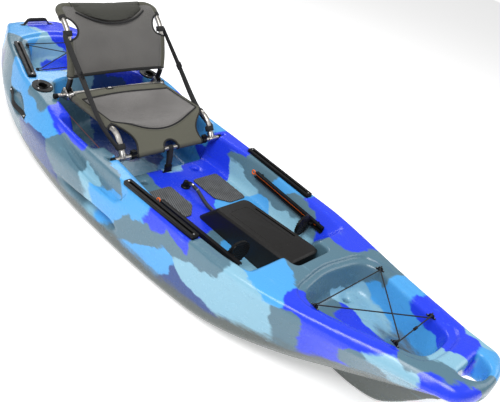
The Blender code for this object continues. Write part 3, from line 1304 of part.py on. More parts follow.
def twist_rod(name, side, home):
    """Rod along the rail's channel that ends in a finger ring just aft of it."""
    frame = brace_frame(side)
    length = (Vector(BRACE_AFT) - Vector(BRACE_FORE)).length
    ring = length + 0.008 + RING_RADIUS
    path = [(0, 0.012), (0, 0.5 * length), (0, length - 0.004)]
    for k in range(13):
        angle = math.radians(-125 + 285 * k / 12)
        path.append((-RING_RADIUS * math.sin(angle), ring + RING_RADIUS * math.cos(angle)))
    points = [frame @ Vector((ROD_DEPTH_IN_RAIL, y, z)) for y, z in path]
    tube(name, points, ROD_RADIUS, "orange_plastic", rounds=1, home=home)


def build_foot_braces(hull):
    for side, word in ((1, "port"), (-1, "starboard")):
        foot_rail(f"foot_rail_{word}", side, hull)
        frame = brace_frame(side)
        foot_pedal(f"foot_pedal_{word}", side, pivot(f"pedal_slide_{word}", frame @ Vector((0, 0, PEDAL_PLACE))))
        axis = pivot(f"rod_twist_{word}", frame @ Vector((ROD_DEPTH_IN_RAIL, 0, 0)))
        twist_rod(f"twist_rod_{word}", side, axis)


# Mats, pod cover and hose.
def floor_mat(name, side):
    """Foam mat with rounded corners and a chamfer at its fore inner corner."""
    outline = [(MAT_INNER, MAT_AFT), (MAT_OUTER, MAT_AFT), (MAT_OUTER, MAT_FORE), (MAT_INNER + 0.050, MAT_FORE),
               (MAT_INNER, MAT_FORE + 0.055)]
    low = COCKPIT_FLOOR + GAP
    prism(name, rounded_outline(outline, 0.018), low, low + MAT_THICK, "foam_mat", mirror(Matrix.Identity(4), side))


def pod_top(y):
    return POD_TOP_AFT + (POD_TOP_FORE - POD_TOP_AFT) * (POD_AFT - y) / (POD_AFT - POD_FORE)


def pod_rings(inset, base, drop):
    """Levels of the pod's skin, drawn in by a wall and dropped from its top."""
    def outline(half, aft, fore):
        half, aft, fore = half - inset, aft - inset, fore + inset
        return rounded_outline(mirrored([(0, fore), (half, fore), (half, aft), (0, aft)]), 0.030, 4)
    foot = outline(POD_HALF, POD_FOOT_AFT, POD_FORE)
    shoulder_line = outline(POD_HALF, POD_AFT + POD_EDGE, POD_FORE)
    crown = outline(POD_HALF - POD_EDGE, POD_AFT, POD_FORE + POD_EDGE)
    return [(foot, base), (shoulder_line, lambda y: pod_top(y) - drop - POD_EDGE),
            (crown, lambda y: pod_top(y) - drop)]


def build_pod():
    """Lift-off cover over the centre pod: thin walls, open below, a routed panel line and a slot on top."""
    home = pivot("pod_lift", (0, 0.5 * (POD_AFT + POD_FORE), COCKPIT_FLOOR))
    rings = []
    for outline, height in pod_rings(0, COCKPIT_FLOOR + GAP, 0):
        rings.append([(x, y, height(y) if callable(height) else height) for x, y in outline])
    cover = loft("pod_cover", rings, "black_plastic", home)
    hollow = []
    for outline, height in pod_rings(POD_WALL, COCKPIT_FLOOR - 0.05, POD_WALL):
        hollow.append([(x, y, height(y) if callable(height) else height) for x, y in outline])
    cut(cover, loft("pod_hollow", hollow, None, home))
    x, aft, fore, half = POD_SLOT
    slot = rounded_outline([(x - half, fore), (x + half, fore), (x + half, aft), (x - half, aft)], half, 2)
    cut(cover, prism("pod_slot", slot, pod_top(POD_FORE) - 0.06, CUT_TOP, None, home=home))
    room = HOSE_RADIUS + 0.002
    floor = COCKPIT_FLOOR
    arch = [(HOSE_X - room, floor - 0.01), (HOSE_X + room, floor - 0.01), (HOSE_X + room, floor + 1.4 * room),
            (HOSE_X + 0.6 * room, floor + 2.1 * room), (HOSE_X - 0.6 * room, floor + 2.1 * room),
            (HOSE_X - room, floor + 1.4 * room)]
    turn = Matrix(((1, 0, 0, 0), (0, 0, 1, 0), (0, 1, 0, 0), (0, 0, 0, 1)))
    cut(cover, prism("pod_arch", arch, POD_FOOT_AFT - 0.06, POD_FOOT_AFT + 0.02, None, turn, home=home))


def fitting_outlet():
    """Start and direction of the hose fitting's outlet."""
    x, y = HOSE_FITTING
    return Vector((x, y, COCKPIT_FLOOR + FITTING_RISE)), Vector((-0.03, -0.97, 0.24)).normalized()


def hose_path():
    """Hose route from the fitting's outlet over the floor into the pod's arch."""
    start, lean = fitting_outlet()
    first = start + lean * (FITTING_REACH + GAP)
    floor = COCKPIT_FLOOR + HOSE_RADIUS + GAP
    inside = POD_FOOT_AFT - 0.027
    knots = [first + lean * HOSE_RADIUS * k for k in range(3)]
    knots += [Vector((-0.006, -0.122, floor + 0.0275)), Vector((-0.010, -0.160, floor + 0.0165)),
              Vector((HOSE_X, -0.198, floor + 0.005)), Vector((HOSE_X, POD_FOOT_AFT, floor)),
              Vector((HOSE_X, inside, floor))]
    fine = smooth_path(knots, 12)
    lengths = [0.0]
    for a, b in zip(fine, fine[1:]):
        lengths.append(lengths[-1] + (b - a).length)
    count = 2 * round(lengths[-1] / HOSE_RIB_PITCH)
    path = []
    for k in range(count + 1):
        goal = lengths[-1] * k / count
        i = max(j for j in range(len(fine) - 1) if lengths[j] <= goal + 1e-9)
        share = (goal - lengths[i]) / (lengths[i + 1] - lengths[i])
        path.append(fine[i].lerp(fine[i + 1], share))
    return path


def build_hose():
    """Ribbed hose with its bore, between the floor fitting and the pod."""
    path = hose_path()
    curve = tube_curve("pod_hose", path, HOSE_RADIUS, 2)
    for k, spot in enumerate(curve.splines[0].points):
        spot.radius = 1.0 if k % 2 else HOSE_VALLEY / HOSE_RADIUS
    hose = keep("pod_hose", meshed("pod_hose", curve), "rubber")
    inner = path[::4] + [path[-1]]
    inner[0] = path[0] + (path[0] - path[1]).normalized() * 0.01
    inner[-1] = path[-1] + (path[-1] - path[-2]).normalized() * 0.01
    bore("hose_bore", hose, inner, HOSE_BORE - GAP, None, 2)


def build_hose_fitting():
    """Round floor fitting with a tilted ringed outlet."""
    x, y = HOSE_FITTING
    low, rise, radius = GAP, FITTING_RISE, FITTING_RADIUS
    profile = [(0, low), (radius, low), (radius, low + 0.006), (radius - 0.005, low + 0.009),
               (radius - 0.007, rise), (0.55 * radius, rise + 0.008), (0, rise + 0.010)]
    base = turned("hose_fitting", profile, "black_plastic", frame_at((x, y, COCKPIT_FLOOR)), 24)
    start, lean = fitting_outlet()
    neck = HOSE_RADIUS + 0.001
    outlet = [(0, 0), (neck, 0), (neck, FITTING_REACH - 0.010), (neck + 0.003, FITTING_REACH - 0.009),
              (neck + 0.003, FITTING_REACH - 0.002), (neck, FITTING_REACH), (0, FITTING_REACH)]
    cut(base, turned("fitting_outlet", outlet, None, frame_along(start, start + lean), 20), "UNION")


# Handles, side cord and wheel.
def side_handle(name, side, hull):
    """Carry strap along the side, its flat ends let into the wall and its middle bowed out."""
    count = 16
    run = []
    low, high = SIDE_HANDLE_FORE - SIDE_HANDLE_TAB, SIDE_HANDLE_AFT + SIDE_HANDLE_TAB
    tab = SIDE_HANDLE_TAB / (high - low)
    for k in range(count + 1):
        share = k / count
        y = low + (high - low) * share
        z = handle_height(y)
        swell = math.sin(math.pi * min(max((share - tab) / (1 - 2 * tab), 0), 1)) ** 2
        run.append((side * (shoulder_half(y, z) + SIDE_HANDLE_BOW * swell), y, z))
    middle = 0.5 * (low + high)
    fall = along(BEAM_HALF, middle) - along(DECK_HALF, middle)
    lean = (-side * fall, 0, sheer(middle) - along(BEAM_HEIGHT, middle))
    ribbon(name, run, SIDE_HANDLE_WIDTH, SIDE_HANDLE_THICK, lean, "webbing")
    wide, thick = SIDE_HANDLE_WIDTH + 2 * LAND_MARGIN, SIDE_HANDLE_THICK + 2 * GAP
    cut(hull, ribbon(name + "_seat", run, wide, thick, lean, None))


def build_stern_handle(hull):
    """Grip with flat screwed ends across the stern deck."""
    y = STERN_HANDLE_Y
    frame = frame_at((0, y, sheer(y) - 0.002))
    rings = []
    tab, grip = STERN_HANDLE_HALF, STERN_GRIP_HALF
    half = [(tab, 0.011, 0.002, 0.002), (grip + 0.016, 0.012, 0.002, 0.002),
            (grip + 0.006, 0.011, 0.005, 0.5 * STERN_GRIP_RISE), (grip - 0.006, 0.010, 0.008, STERN_GRIP_RISE - 0.002),
            (0.6 * grip, STERN_GRIP_RADIUS, STERN_GRIP_RADIUS, STERN_GRIP_RISE)]
    for x, wide, tall, rise in half + [(-x, *rest) for x, *rest in reversed(half)]:
        rings.append([frame @ Vector((x, u, rise + v)) for u, v in ellipse(wide, tall, 12)])
    loft("stern_handle", rings, "rubber")
    edge = 0.012 + LAND_MARGIN
    reach = tab + LAND_MARGIN
    seat = [(-reach, -edge), (reach, -edge), (reach, edge), (-reach, edge)]
    cut(hull, land("stern_handle_land", frame, seat))


def build_side_cord(hull):
    """Thin elastic cord along the starboard pocket, its ends held in the two ledge blocks."""
    x0, y0, z0 = SIDE_CORD_FORE
    x1, y1, z1 = SIDE_CORD_AFT
    fore, aft = Vector((-x0, y0, z0)), Vector((-x1, y1, z1))
    run = (aft - fore).normalized() * SIDE_CORD_HOLD
    tube("side_cord", [fore - run, fore, aft, aft + run], SIDE_CORD_RADIUS, "red_cord", rounds=2)
    bore("side_cord_bore", hull, [fore - 1.1 * run, fore, aft, aft + 1.1 * run], SIDE_CORD_RADIUS, None, 2)


def build_wheel(hull):
    """Small transport wheel on stub axles in a slot through the stern keel."""
    home = pivot("wheel_axle", (0, WHEEL_Y, WHEEL_CENTRE))
    wide, radius = WHEEL_HALF_WIDTH, WHEEL_RADIUS
    boss = wide + 0.004
    half = [(AXLE_RADIUS, AXLE_HALF), (AXLE_RADIUS, boss), (0.27 * radius, boss), (0.31 * radius, 0.6 * wide),
            (0.76 * radius, 0.6 * wide), (0.80 * radius, wide), (radius, 0.7 * wide)]
    profile = [(0, AXLE_HALF)] + half + [(r, -h) for r, h in reversed(half)] + [(0, -AXLE_HALF)]
    turn = Matrix(((0, 0, 1, 0), (1, 0, 0, WHEEL_Y), (0, 1, 0, WHEEL_CENTRE), (0, 0, 0, 1)))
    turned("keel_wheel", profile, "rubber", turn, 20, home)
    room = radius + WHEEL_ROOM
    slot = boss + AXLE_CLEARANCE
    cut(hull, turned("wheel_slot", [(0, -slot), (room, -slot), (room, slot), (0, slot)], None, turn, 20))
    hole, reach = AXLE_RADIUS + AXLE_CLEARANCE, AXLE_HALF + GAP
    cut(hull, turned("axle_hole", [(0, -reach), (hole, -reach), (hole, reach), (0, reach)], None, turn, 12))


def main():
    clear_scene()
    hull = build_hull()
    for side, word in ((1, "port"), (-1, "starboard")):
        gear_track(f"gear_track_bow_{word}", BOW_TRACK, BOW_TRACK_YAW, TRACK_LENGTH_BOW, side, hull)
        gear_track(f"gear_track_stern_{word}", STERN_TRACK, STERN_TRACK_YAW, TRACK_LENGTH_STERN, side, hull)
        rod_holder(f"rod_holder_{word}", side, hull)
    deck_lacing("bow", BOW_EYES, 14.0, hull)
    deck_lacing("stern", STERN_EYES, 15.0, hull)
    build_backrest(build_seat())
    build_anchor()
    build_foot_braces(hull)
    floor_mat("floor_mat_port", 1)
    floor_mat("floor_mat_starboard", -1)
    build_pod()
    build_hose_fitting()
    build_hose()
    side_handle("side_handle_port", 1, hull)
    side_handle("side_handle_starboard", -1, hull)
    build_stern_handle(hull)
    build_side_cord(hull)
    build_wheel(hull)


main()
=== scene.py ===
import math
import bmesh
import bpy
import numpy as np
from mathutils import Matrix, Vector
from mathutils.bvhtree import BVHTree


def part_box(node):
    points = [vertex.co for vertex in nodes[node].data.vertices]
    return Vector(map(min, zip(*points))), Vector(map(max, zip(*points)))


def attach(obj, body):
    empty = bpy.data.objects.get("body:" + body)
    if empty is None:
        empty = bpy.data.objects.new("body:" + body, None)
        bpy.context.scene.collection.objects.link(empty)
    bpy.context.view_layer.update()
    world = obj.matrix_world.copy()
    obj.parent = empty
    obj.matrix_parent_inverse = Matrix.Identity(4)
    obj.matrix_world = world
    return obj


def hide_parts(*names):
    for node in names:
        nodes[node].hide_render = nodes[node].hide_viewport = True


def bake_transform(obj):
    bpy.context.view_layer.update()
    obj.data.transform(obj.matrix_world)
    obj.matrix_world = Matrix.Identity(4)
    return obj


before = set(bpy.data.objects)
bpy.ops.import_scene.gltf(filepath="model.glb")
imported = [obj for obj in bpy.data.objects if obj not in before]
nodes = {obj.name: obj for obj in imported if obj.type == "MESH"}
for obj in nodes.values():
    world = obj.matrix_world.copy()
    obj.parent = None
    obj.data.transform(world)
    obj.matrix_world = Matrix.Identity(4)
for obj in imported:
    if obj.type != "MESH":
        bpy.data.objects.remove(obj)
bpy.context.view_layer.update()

gap = 0.0003
print("frame loaded", len(nodes), "nodes")


# Small shader kit: a socket with arithmetic, and a finish that holds one Principled shader.
class Flow:
    def __init__(self, finish, out):
        self.finish, self.out = finish, out

    def maths(self, kind, *others):
        return self.finish.node("ShaderNodeMath", {"operation": kind}, [self, *others])

    def __add__(self, other): return self.maths("ADD", other)
    def __radd__(self, other): return self.maths("ADD", other)
    def __sub__(self, other): return self.maths("SUBTRACT", other)
    def __rsub__(self, other): return (self * -1).maths("ADD", other)
    def __mul__(self, other): return self.maths("MULTIPLY", other)
    def __rmul__(self, other): return self.maths("MULTIPLY", other)
    def __abs__(self): return self.maths("ABSOLUTE")
    def least(self, other): return self.maths("MINIMUM", other)
    def most(self, other): return self.maths("MAXIMUM", other)
    def sine(self): return self.maths("SINE")

    def between(self, low, high):                        # 0 at low, 1 at high, eased
        return self.finish.node("ShaderNodeMapRange", {"interpolation_type": "SMOOTHSTEP"},
                                {"Value": self, "From Min": low, "From Max": high})


class Finish:
    def __init__(self, name, colour=(0.5, 0.5, 0.5), roughness=0.5, metallic=0.0, **fixed):
        self.material = bpy.data.materials.new(name)
        self.material.use_nodes = True
        self.tree = self.material.node_tree
        self.shader = self.tree.nodes["Principled BSDF"]
        self.set(self.shader, "Base Color", (*colour, 1.0))
        self.set(self.shader, "Roughness", roughness)
        self.set(self.shader, "Metallic", metallic)
        for socket, value in fixed.items():
            self.set(self.shader, socket.replace("_", " "), value)

    def set(self, node, socket, value):
        place = node.inputs[socket]
        if isinstance(value, Flow):
            self.tree.links.new(value.out, place)
        else:
            place.default_value = value

    def node(self, kind, settings=None, sockets=None, out=0):
        made = self.tree.nodes.new(kind)
        for key, value in (settings or {}).items():
            setattr(made, key, value)
        pairs = sockets.items() if isinstance(sockets, dict) else enumerate(sockets or [])
        for socket, value in pairs:
            self.set(made, socket, value)
        return Flow(self, made.outputs[out])

    def place(self):
        return self.node("ShaderNodeTexCoord", out="Object")

    def uv(self):
        return self.node("ShaderNodeTexCoord", out="UV")

    def split(self, vector):
        made = self.tree.nodes.new("ShaderNodeSeparateXYZ")
        self.set(made, 0, vector)
        return [Flow(self, out) for out in made.outputs]

    def scaled(self, vector, scale):
        return self.node("ShaderNodeMapping", None, {"Vector": vector, "Scale": scale})

    def shift(self, place, noise, amount):               # moves a place by a colour noise, evenly both ways
        moved = self.node("ShaderNodeVectorMath", {"operation": "MULTIPLY_ADD"}, [noise, (2 * amount,) * 3, place])
        return self.node("ShaderNodeVectorMath", {"operation": "SUBTRACT"}, [moved, (amount,) * 3])

    def noise(self, vector, scale, detail=3.0, roughness=0.5, out="Fac"):
        return self.node("ShaderNodeTexNoise", None,
                         {"Vector": vector, "Scale": scale, "Detail": detail, "Roughness": roughness}, out)

    def mix(self, share, first, second):
        made = self.tree.nodes.new("ShaderNodeMix")
        made.data_type = "RGBA"
        for socket, value in ((0, share), (6, first), (7, second)):
            value = (*value, 1.0) if isinstance(value, tuple) and len(value) == 3 else value
            self.set(made, socket, value)
        return Flow(self, made.outputs[2])

    def bump(self, height, distance, strength=1.0, under=None):
        sockets = {"Height": height, "Distance": distance, "Strength": strength}
        if under:
            sockets["Normal"] = under
        return self.node("ShaderNodeBump", None, sockets)

    def use(self, **sockets):
        for socket, value in sockets.items():
            self.set(self.shader, socket.replace("_", " "), value)
        return self.material


def toned(colour, share, more=0.0):                      # a colour scaled, with a little added
    return tuple(share * c + more for c in colour)


def placed(name, data):                                  # new object in the scene
    item = bpy.data.objects.new(name, data)
    bpy.context.scene.collection.objects.link(item)
    return item


# Camera and light
cameraSetup = {
    "lens": 43.337,
    "turn": [(0.695, 0.23638, -0.67904), (-0.67553, 0.53808, -0.50411), (0.24621, 0.80907, 0.53365)],
    "place": (-1.67558, -1.65618, 1.68203),
}


def makeCamera():
    data = bpy.data.cameras.new("camera")
    data.lens, data.sensor_width = cameraSetup["lens"], 36.0
    camera = placed("camera", data)
    camera.matrix_world = Matrix.Translation(cameraSetup["place"]) @ Matrix(cameraSetup["turn"]).to_4x4()
    bpy.context.scene.camera = camera


lightSetup = {
    "world": 0.40,
    "lamps": [("key", (-2.0, -0.9, 3.6), 2.2, 150.0), ("fill", (2.6, -2.6, 2.6), 2.6, 46.0),
              ("rear", (1.2, 3.2, 2.8), 2.2, 55.0)],
    "floor": (0.92, 0.92, 0.92), "glow": 0.42, "aim": (0, 0, 0.2), "reach": 9, "under": -0.001,
}


def makeLight():
    world = bpy.data.worlds.new("softBox")
    world.use_nodes = True
    bpy.context.scene.world = world
    tree = world.node_tree
    back, white = tree.nodes["Background"], tree.nodes.new("ShaderNodeBackground")
    paths, pick = tree.nodes.new("ShaderNodeLightPath"), tree.nodes.new("ShaderNodeMixShader")
    back.inputs[0].default_value = white.inputs[0].default_value = (1, 1, 1, 1)
    back.inputs[1].default_value = lightSetup["world"]
    for k, out in enumerate((paths.outputs["Is Camera Ray"], back.outputs[0], white.outputs[0])):
        tree.links.new(out, pick.inputs[k])
    tree.links.new(pick.outputs[0], tree.nodes["World Output"].inputs[0])
    for name, place, size, power in lightSetup["lamps"]:
        data = bpy.data.lights.new(name, "AREA")
        data.size, data.energy = size, power
        lamp = placed(name, data)
        lamp.location = place
        lamp.rotation_euler = (Vector(lightSetup["aim"]) - Vector(place)).to_track_quat("-Z", "Y").to_euler()
    mesh, reach, low = bpy.data.meshes.new("floor"), lightSetup["reach"], lightSetup["under"]
    corners = [(x * reach, y * reach, low) for x, y in ((-1, -1), (1, -1), (1, 1), (-1, 1))]
    mesh.from_pydata(corners, [], [(0, 1, 2, 3)])
    floor = placed("floor", mesh)
    paint = Finish("floorPaint", lightSetup["floor"], 0.9, Emission_Color=(1, 1, 1, 1),
                   Emission_Strength=lightSetup["glow"])
    mesh.materials.append(paint.material)


bpy.context.scene.view_settings.view_transform = "Standard"
makeCamera()
makeLight()


def addObject(name, mesh, material=None, sharp=None):    # smooth shaded, normals outward
    form = bmesh.new()
    form.from_mesh(mesh)
    bmesh.ops.recalc_face_normals(form, faces=form.faces)
    form.to_mesh(mesh)
    form.free()
    mesh.shade_smooth()
    if sharp:
        mesh.set_sharp_from_angle(angle=math.radians(sharp))
    item = placed(name, mesh)
    if material:
        mesh.materials.append(material)
    return item


def settle(item, body, replaced=()):               # hands a finished piece to its body
    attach(item, body)
    if replaced:
        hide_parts(*replaced)
    return item


def frameAt(place, yaw=0.0, pitch=0.0):
    turn = Matrix.Rotation(math.radians(yaw), 4, "Z") @ Matrix.Rotation(math.radians(pitch), 4, "X")
    return Matrix.Translation(place) @ turn


# Hull: the same lines as the solid's, drawn finer and with every moulded edge rounded
hullLines = {
    "bowEnd": -1.535, "sternEnd": 1.535, "bowRound": 0.11, "sternRound": 0.06, "crown": 0.006,
    "sheer": [(-1.535, 0.412), (-1.3, 0.388), (-1.0, 0.353), (-0.7, 0.337), (-0.3, 0.330), (0.3, 0.333),
              (0.45, 0.341), (0.6, 0.365), (0.85, 0.378), (1.13, 0.402), (1.36, 0.402), (1.47, 0.36), (1.535, 0.30)],
    "deck": [(-1.535, 0.150), (-1.38, 0.158), (-1.2, 0.207), (-1.0, 0.268), (-0.8, 0.322), (-0.6, 0.362),
             (-0.3, 0.370), (0.2, 0.378), (0.45, 0.376), (0.8, 0.348), (1.0, 0.300), (1.2, 0.240), (1.36, 0.160),
             (1.535, 0.085)],
    "beam": [(-1.535, 0.182), (-1.4, 0.192), (-1.2, 0.235), (-1.0, 0.285), (-0.8, 0.335), (-0.6, 0.366),
             (-0.4, 0.378), (-0.2, 0.394), (0.0, 0.413), (0.2, 0.429), (0.4, 0.432), (0.6, 0.425), (0.8, 0.403),
             (1.0, 0.355), (1.2, 0.272), (1.3, 0.224), (1.4, 0.174), (1.535, 0.098)],
    "beamHeight": [(-1.535, 0.372), (-1.3, 0.348), (-1.0, 0.322), (-0.6, 0.305), (-0.36, 0.266), (-0.2, 0.250),
                   (0.0, 0.236), (0.3, 0.226), (0.8, 0.235), (1.2, 0.262), (1.535, 0.235)],
    "chine": [(-1.535, 0.12), (-1.3, 0.142), (-1.1, 0.196), (-0.9, 0.272), (-0.7, 0.334), (-0.5, 0.366),
              (-0.2, 0.393), (0.2, 0.402), (0.5, 0.392), (0.8, 0.357), (1.0, 0.314), (1.2, 0.246), (1.4, 0.158),
              (1.535, 0.075)],
    "chineHeight": [(-1.535, 0.352), (-1.42, 0.318), (-1.3, 0.268), (-1.1, 0.185), (-0.9, 0.102), (-0.7, 0.050),
                    (-0.5, 0.020), (0.2, 0.010), (0.6, 0.032), (1.0, 0.075), (1.4, 0.090), (1.535, 0.135)],
    "runner": [(-1.535, 0.06), (-1.3, 0.085), (-1.1, 0.13), (-0.9, 0.20), (-0.6, 0.275), (0.0, 0.315),
               (0.5, 0.300), (1.0, 0.215), (1.4, 0.095), (1.535, 0.05)],
    "runnerHeight": [(-1.535, 0.340), (-1.3, 0.195), (-1.1, 0.105), (-0.9, 0.045), (-0.6, 0.004), (-0.3, 0.0),
                     (0.6, 0.0), (1.0, 0.020), (1.4, 0.052), (1.535, 0.120)],
    "keel": [(-1.535, 0.322), (-1.468, 0.256), (-1.408, 0.212), (-1.366, 0.157), (-1.303, 0.079),
             (-1.247, 0.030), (-1.153, 0.004), (-1.05, 0.0), (1.15, 0.0), (1.35, 0.018), (1.47, 0.065),
             (1.535, 0.120)],
    "keelHalf": 0.034, "tunnelRise": 0.022,
    "deckRound": 0.012, "beamRound": 0.022, "chineRound": 0.040, "runnerRound": 0.035,
    "voxel": 0.0082,
}
wells = {
    "bow": {"half": [(0, -1.368), (0.125, -1.352), (0.232, -0.940), (0.205, -0.862), (0, -0.826)],
            "round": 0.060, "floor": 0.215, "taper": 0.030},
    "stern": {"half": [(0, 0.842), (0.225, 0.846), (0.285, 0.872), (0.178, 1.195), (0, 1.235)],
              "round": 0.050, "floor": 0.268, "taper": 0.022},
    "shelfDrop": 0.010, "shelfWidth": 0.026, "rim": 0.012, "foot": 0.030,
}
cockpit = {
    "rim": [(0, -0.716), (0.285, -0.716), (0.306, -0.60), (0.322, -0.25), (0.300, 0.0), (0.288, 0.145), (0, 0.145)],
    "foot": [(0, -0.625), (0.190, -0.625), (0.212, -0.54), (0.252, -0.25), (0.262, 0.0), (0.262, 0.145), (0, 0.145)],
    "floor": 0.195, "trough": (0.102, -0.782, -0.55),
    "seatRim": [(0, 0.125), (0.290, 0.125), (0.300, 0.40), (0.296, 0.62), (0.235, 0.745), (0, 0.800)],
    "seatBase": [(0, 0.137), (0.250, 0.137), (0.255, 0.40), (0.248, 0.60), (0.200, 0.700), (0, 0.755)],
    "seatFloor": 0.105, "pocket": (0.350, 0.205, 0.472, 0.150), "pocketLean": (0.085, 0.022),
    "scuppers": [(0.150, 0.070, 0.195), (0.088, -0.935, 0.215), (0.115, 0.960, 0.268), (0.165, 0.640, 0.105)],
    "bars": [(0.113, 0.318), (0.598, 0.378)], "barRoom": 0.0124, "barReach": 0.332,
}
sides = {
    "trayOuter": [(-0.10, 0.395), (-0.06, 0.404), (0.10, 0.414), (0.22, 0.413), (0.35, 0.408), (0.47, 0.396)],
    "trayFloor": [(-0.10, 0.262), (-0.03, 0.236), (0.20, 0.240), (0.47, 0.300)],
    "scallop": (-0.085, 0.400, 0.116, 0.032, 0.046),
    "handle": (0.690, 0.875, 0.251, 0.278), "scoop": 0.030,
    "carryHole": (-1.506, -1.432, 0.084),
}


def along(points, ys):                                   # smooth curve through (y, value) points
    spots = np.array([p[0] for p in points])
    values = np.array([p[1] for p in points])
    slopes = np.zeros(len(points))
    for i in range(len(points)):
        left, right = max(i - 1, 0), min(i + 1, len(points) - 1)
        rising = (values[i] - values[left]) * (values[right] - values[i]) > 0 or left == i or right == i
        slopes[i] = (values[right] - values[left]) / (spots[right] - spots[left]) if rising else 0.0
    ys = np.clip(np.asarray(ys, dtype=float), spots[0], spots[-1])
    i = np.clip(np.searchsorted(spots, ys, side="right") - 1, 0, len(points) - 2)
    step = spots[i + 1] - spots[i]
    t = (ys - spots[i]) / step
    return ((2 * t**3 - 3 * t**2 + 1) * values[i] + (t**3 - 2 * t**2 + t) * step * slopes[i]
            + (3 * t**2 - 2 * t**3) * values[i + 1] + (t**3 - t**2) * step * slopes[i + 1])


def line(name, ys):
    return along(hullLines[name], ys)


def roundCorner(before, corner, after, radius, steps=5):  # points of a round corner between its tangents
    reachIn, reachOut = corner - before, after - corner
    lengthIn = np.linalg.norm(reachIn, axis=-1, keepdims=True)
    lengthOut = np.linalg.norm(reachOut, axis=-1, keepdims=True)
    start = corner - reachIn / lengthIn * np.minimum(radius, 0.45 * lengthIn)
    end = corner + reachOut / lengthOut * np.minimum(radius, 0.45 * lengthOut)
    return [(1 - t)**2 * start + 2 * t * (1 - t) * corner + t**2 * end for t in np.linspace(0, 1, steps + 1)]


def roundOutline(points, radius):
    points = [np.array(p, dtype=float) for p in points]
    ring = []
    for i, corner in enumerate(points):
        ring += roundCorner(points[i - 1], corner, points[(i + 1) % len(points)], radius)
    return ring


def bothSides(half):
    return list(half) + [(-x, y) for x, y in reversed(half) if x > 0]


def drawnIn(half, inset):
    middle = 0.5 * (half[0][1] + half[-1][1])
    reach = max(abs(y - middle) for _, y in half)
    return [(max(x - inset, 0.0) if x > 0 else 0.0, y - inset * (y - middle) / reach) for x, y in half]


def edgeDistance(us, vs, ring, skipLast=False):          # signed distance to a ring, negative inside
    near = np.full(np.broadcast_shapes(us.shape, vs.shape, np.shape(ring[0])[:-1]), 1e9)
    inside = np.zeros(near.shape, dtype=bool)
    for k in range(len(ring)):
        a, b = ring[k], ring[(k + 1) % len(ring)]
        au, av, bu, bv = a[..., 0], a[..., 1], b[..., 0], b[..., 1]
        du, dv = bu - au, bv - av
        share = np.clip(((us - au) * du + (vs - av) * dv) / np.maximum(du * du + dv * dv, 1e-12), 0, 1)
        if not (skipLast and k == len(ring) - 1):
            near = np.minimum(near, (us - au - share * du)**2 + (vs - av - share * dv)**2)
        crosses = (av > vs) != (bv > vs)
        height = np.where(np.abs(dv) < 1e-12, 1e-12, dv)
        inside ^= crosses & (us < au + (vs - av) * du / height)
    return np.sqrt(near) * np.where(inside, -1, 1)


def roundMax(a, b, reach):                               # crossing of two fields with a rounded edge
    blend = np.maximum(reach - np.abs(a - b), 0) / reach
    return np.maximum(a, b) + blend * blend * reach / 4


class HullField:                                         # distance to the hull's skin on a grid, port half only
    def __init__(self, step):
        self.step = step
        self.ys = np.arange(hullLines["bowEnd"] - 3 * step, hullLines["sternEnd"] + 3 * step, step)
        self.xs = (np.arange(int(0.46 / step)) + 0.5) * step
        self.zs = np.arange(-2 * step, 0.44, step)
        self.x, self.z = self.xs[None, :, None], self.zs[None, None, :]
        self.y = self.ys[:, None, None]
        self.solid = self.body()

    def value(self, name):
        return line(name, self.ys)[:, None, None]

    def rings(self):
        ys = self.ys
        deck, top, keel = line("deck", ys), line("sheer", ys), line("keel", ys)
        runner, runnerZ = line("runner", ys), line("runnerHeight", ys)
        keelHalf, crown = hullLines["keelHalf"], hullLines["crown"]
        tunnel = (0.5 * (keelHalf + runner), np.maximum(keel, runnerZ) + hullLines["tunnelRise"])
        zero = np.zeros(len(ys))
        marks = [(zero, top + crown), (0.55 * deck, top + 0.8 * crown), (deck, top),
                 (line("beam", ys), line("beamHeight", ys)), (line("chine", ys), line("chineHeight", ys)),
                 (runner, runnerZ), tunnel, (zero + keelHalf, keel), (zero, keel)]
        radii = [None, None, "deckRound", "beamRound", "chineRound", "runnerRound", "deckRound", None, None]
        marks = [np.stack(mark, axis=-1) for mark in marks]
        ring = []
        for i, mark in enumerate(marks):
            if radii[i]:
                ring += roundCorner(marks[i - 1], mark, marks[i + 1], hullLines[radii[i]])
            else:
                ring.append(mark)
        return [mark[:, None, None, :] for mark in ring]

    def body(self):
        solid = edgeDistance(self.x, self.z, self.rings(), skipLast=True)
        for end, reach, sense in (("bowEnd", "bowRound", 1), ("sternEnd", "sternRound", -1)):
            centre = hullLines[end] + sense * hullLines[reach]
            radius = hullLines[reach]
            wide = float(line("beam", centre))
            past = sense * (centre - self.y)
            spread = wide + 1.6 * np.maximum(-past, 0)
            nose = (np.sqrt((self.x / spread)**2 + (np.maximum(past, 0) / radius)**2) - 1) * radius
            solid = roundMax(solid, nose, 0.035)
        return solid

    def plan(self, ring):
        field = edgeDistance(self.xs[None, :], self.ys[:, None], ring)
        return field[:, :, None]

    def cut(self, hollow, edge):
        self.solid = roundMax(self.solid, -hollow, edge)

    def outline(self, half, radius):
        return self.plan(roundOutline(bothSides(half), radius))

    def hollow(self, upper, lower, top, floor, foot, rim):   # pocket with leaning walls, drawn at its top and foot
        depth = np.clip((top - self.z) / (top - floor), 0, 1)
        self.cut(roundMax(upper * (1 - depth) + lower * depth, floor - self.z, foot), rim)

    def local(self, frameHere):                          # the grid's places along a frame's axes
        turn = np.array(frameHere.inverted())
        return [turn[i, 0] * self.x + turn[i, 1] * self.y + turn[i, 2] * self.z + turn[i, 3] for i in range(3)]

    def slab(self, frameHere, low, high, soft=0.003):    # box in a frame, as a hollow's field
        field = None
        for value, least, most in zip(self.local(frameHere), low, high):
            side = np.maximum(least - value, value - most)
            field = side if field is None else roundMax(field, side, soft)
        return field


def deckHeight(x, y):
    share = min(abs(x) / float(line("deck", y)), 1.0)
    return float(line("sheer", y)) + hullLines["crown"] * (1 - share)


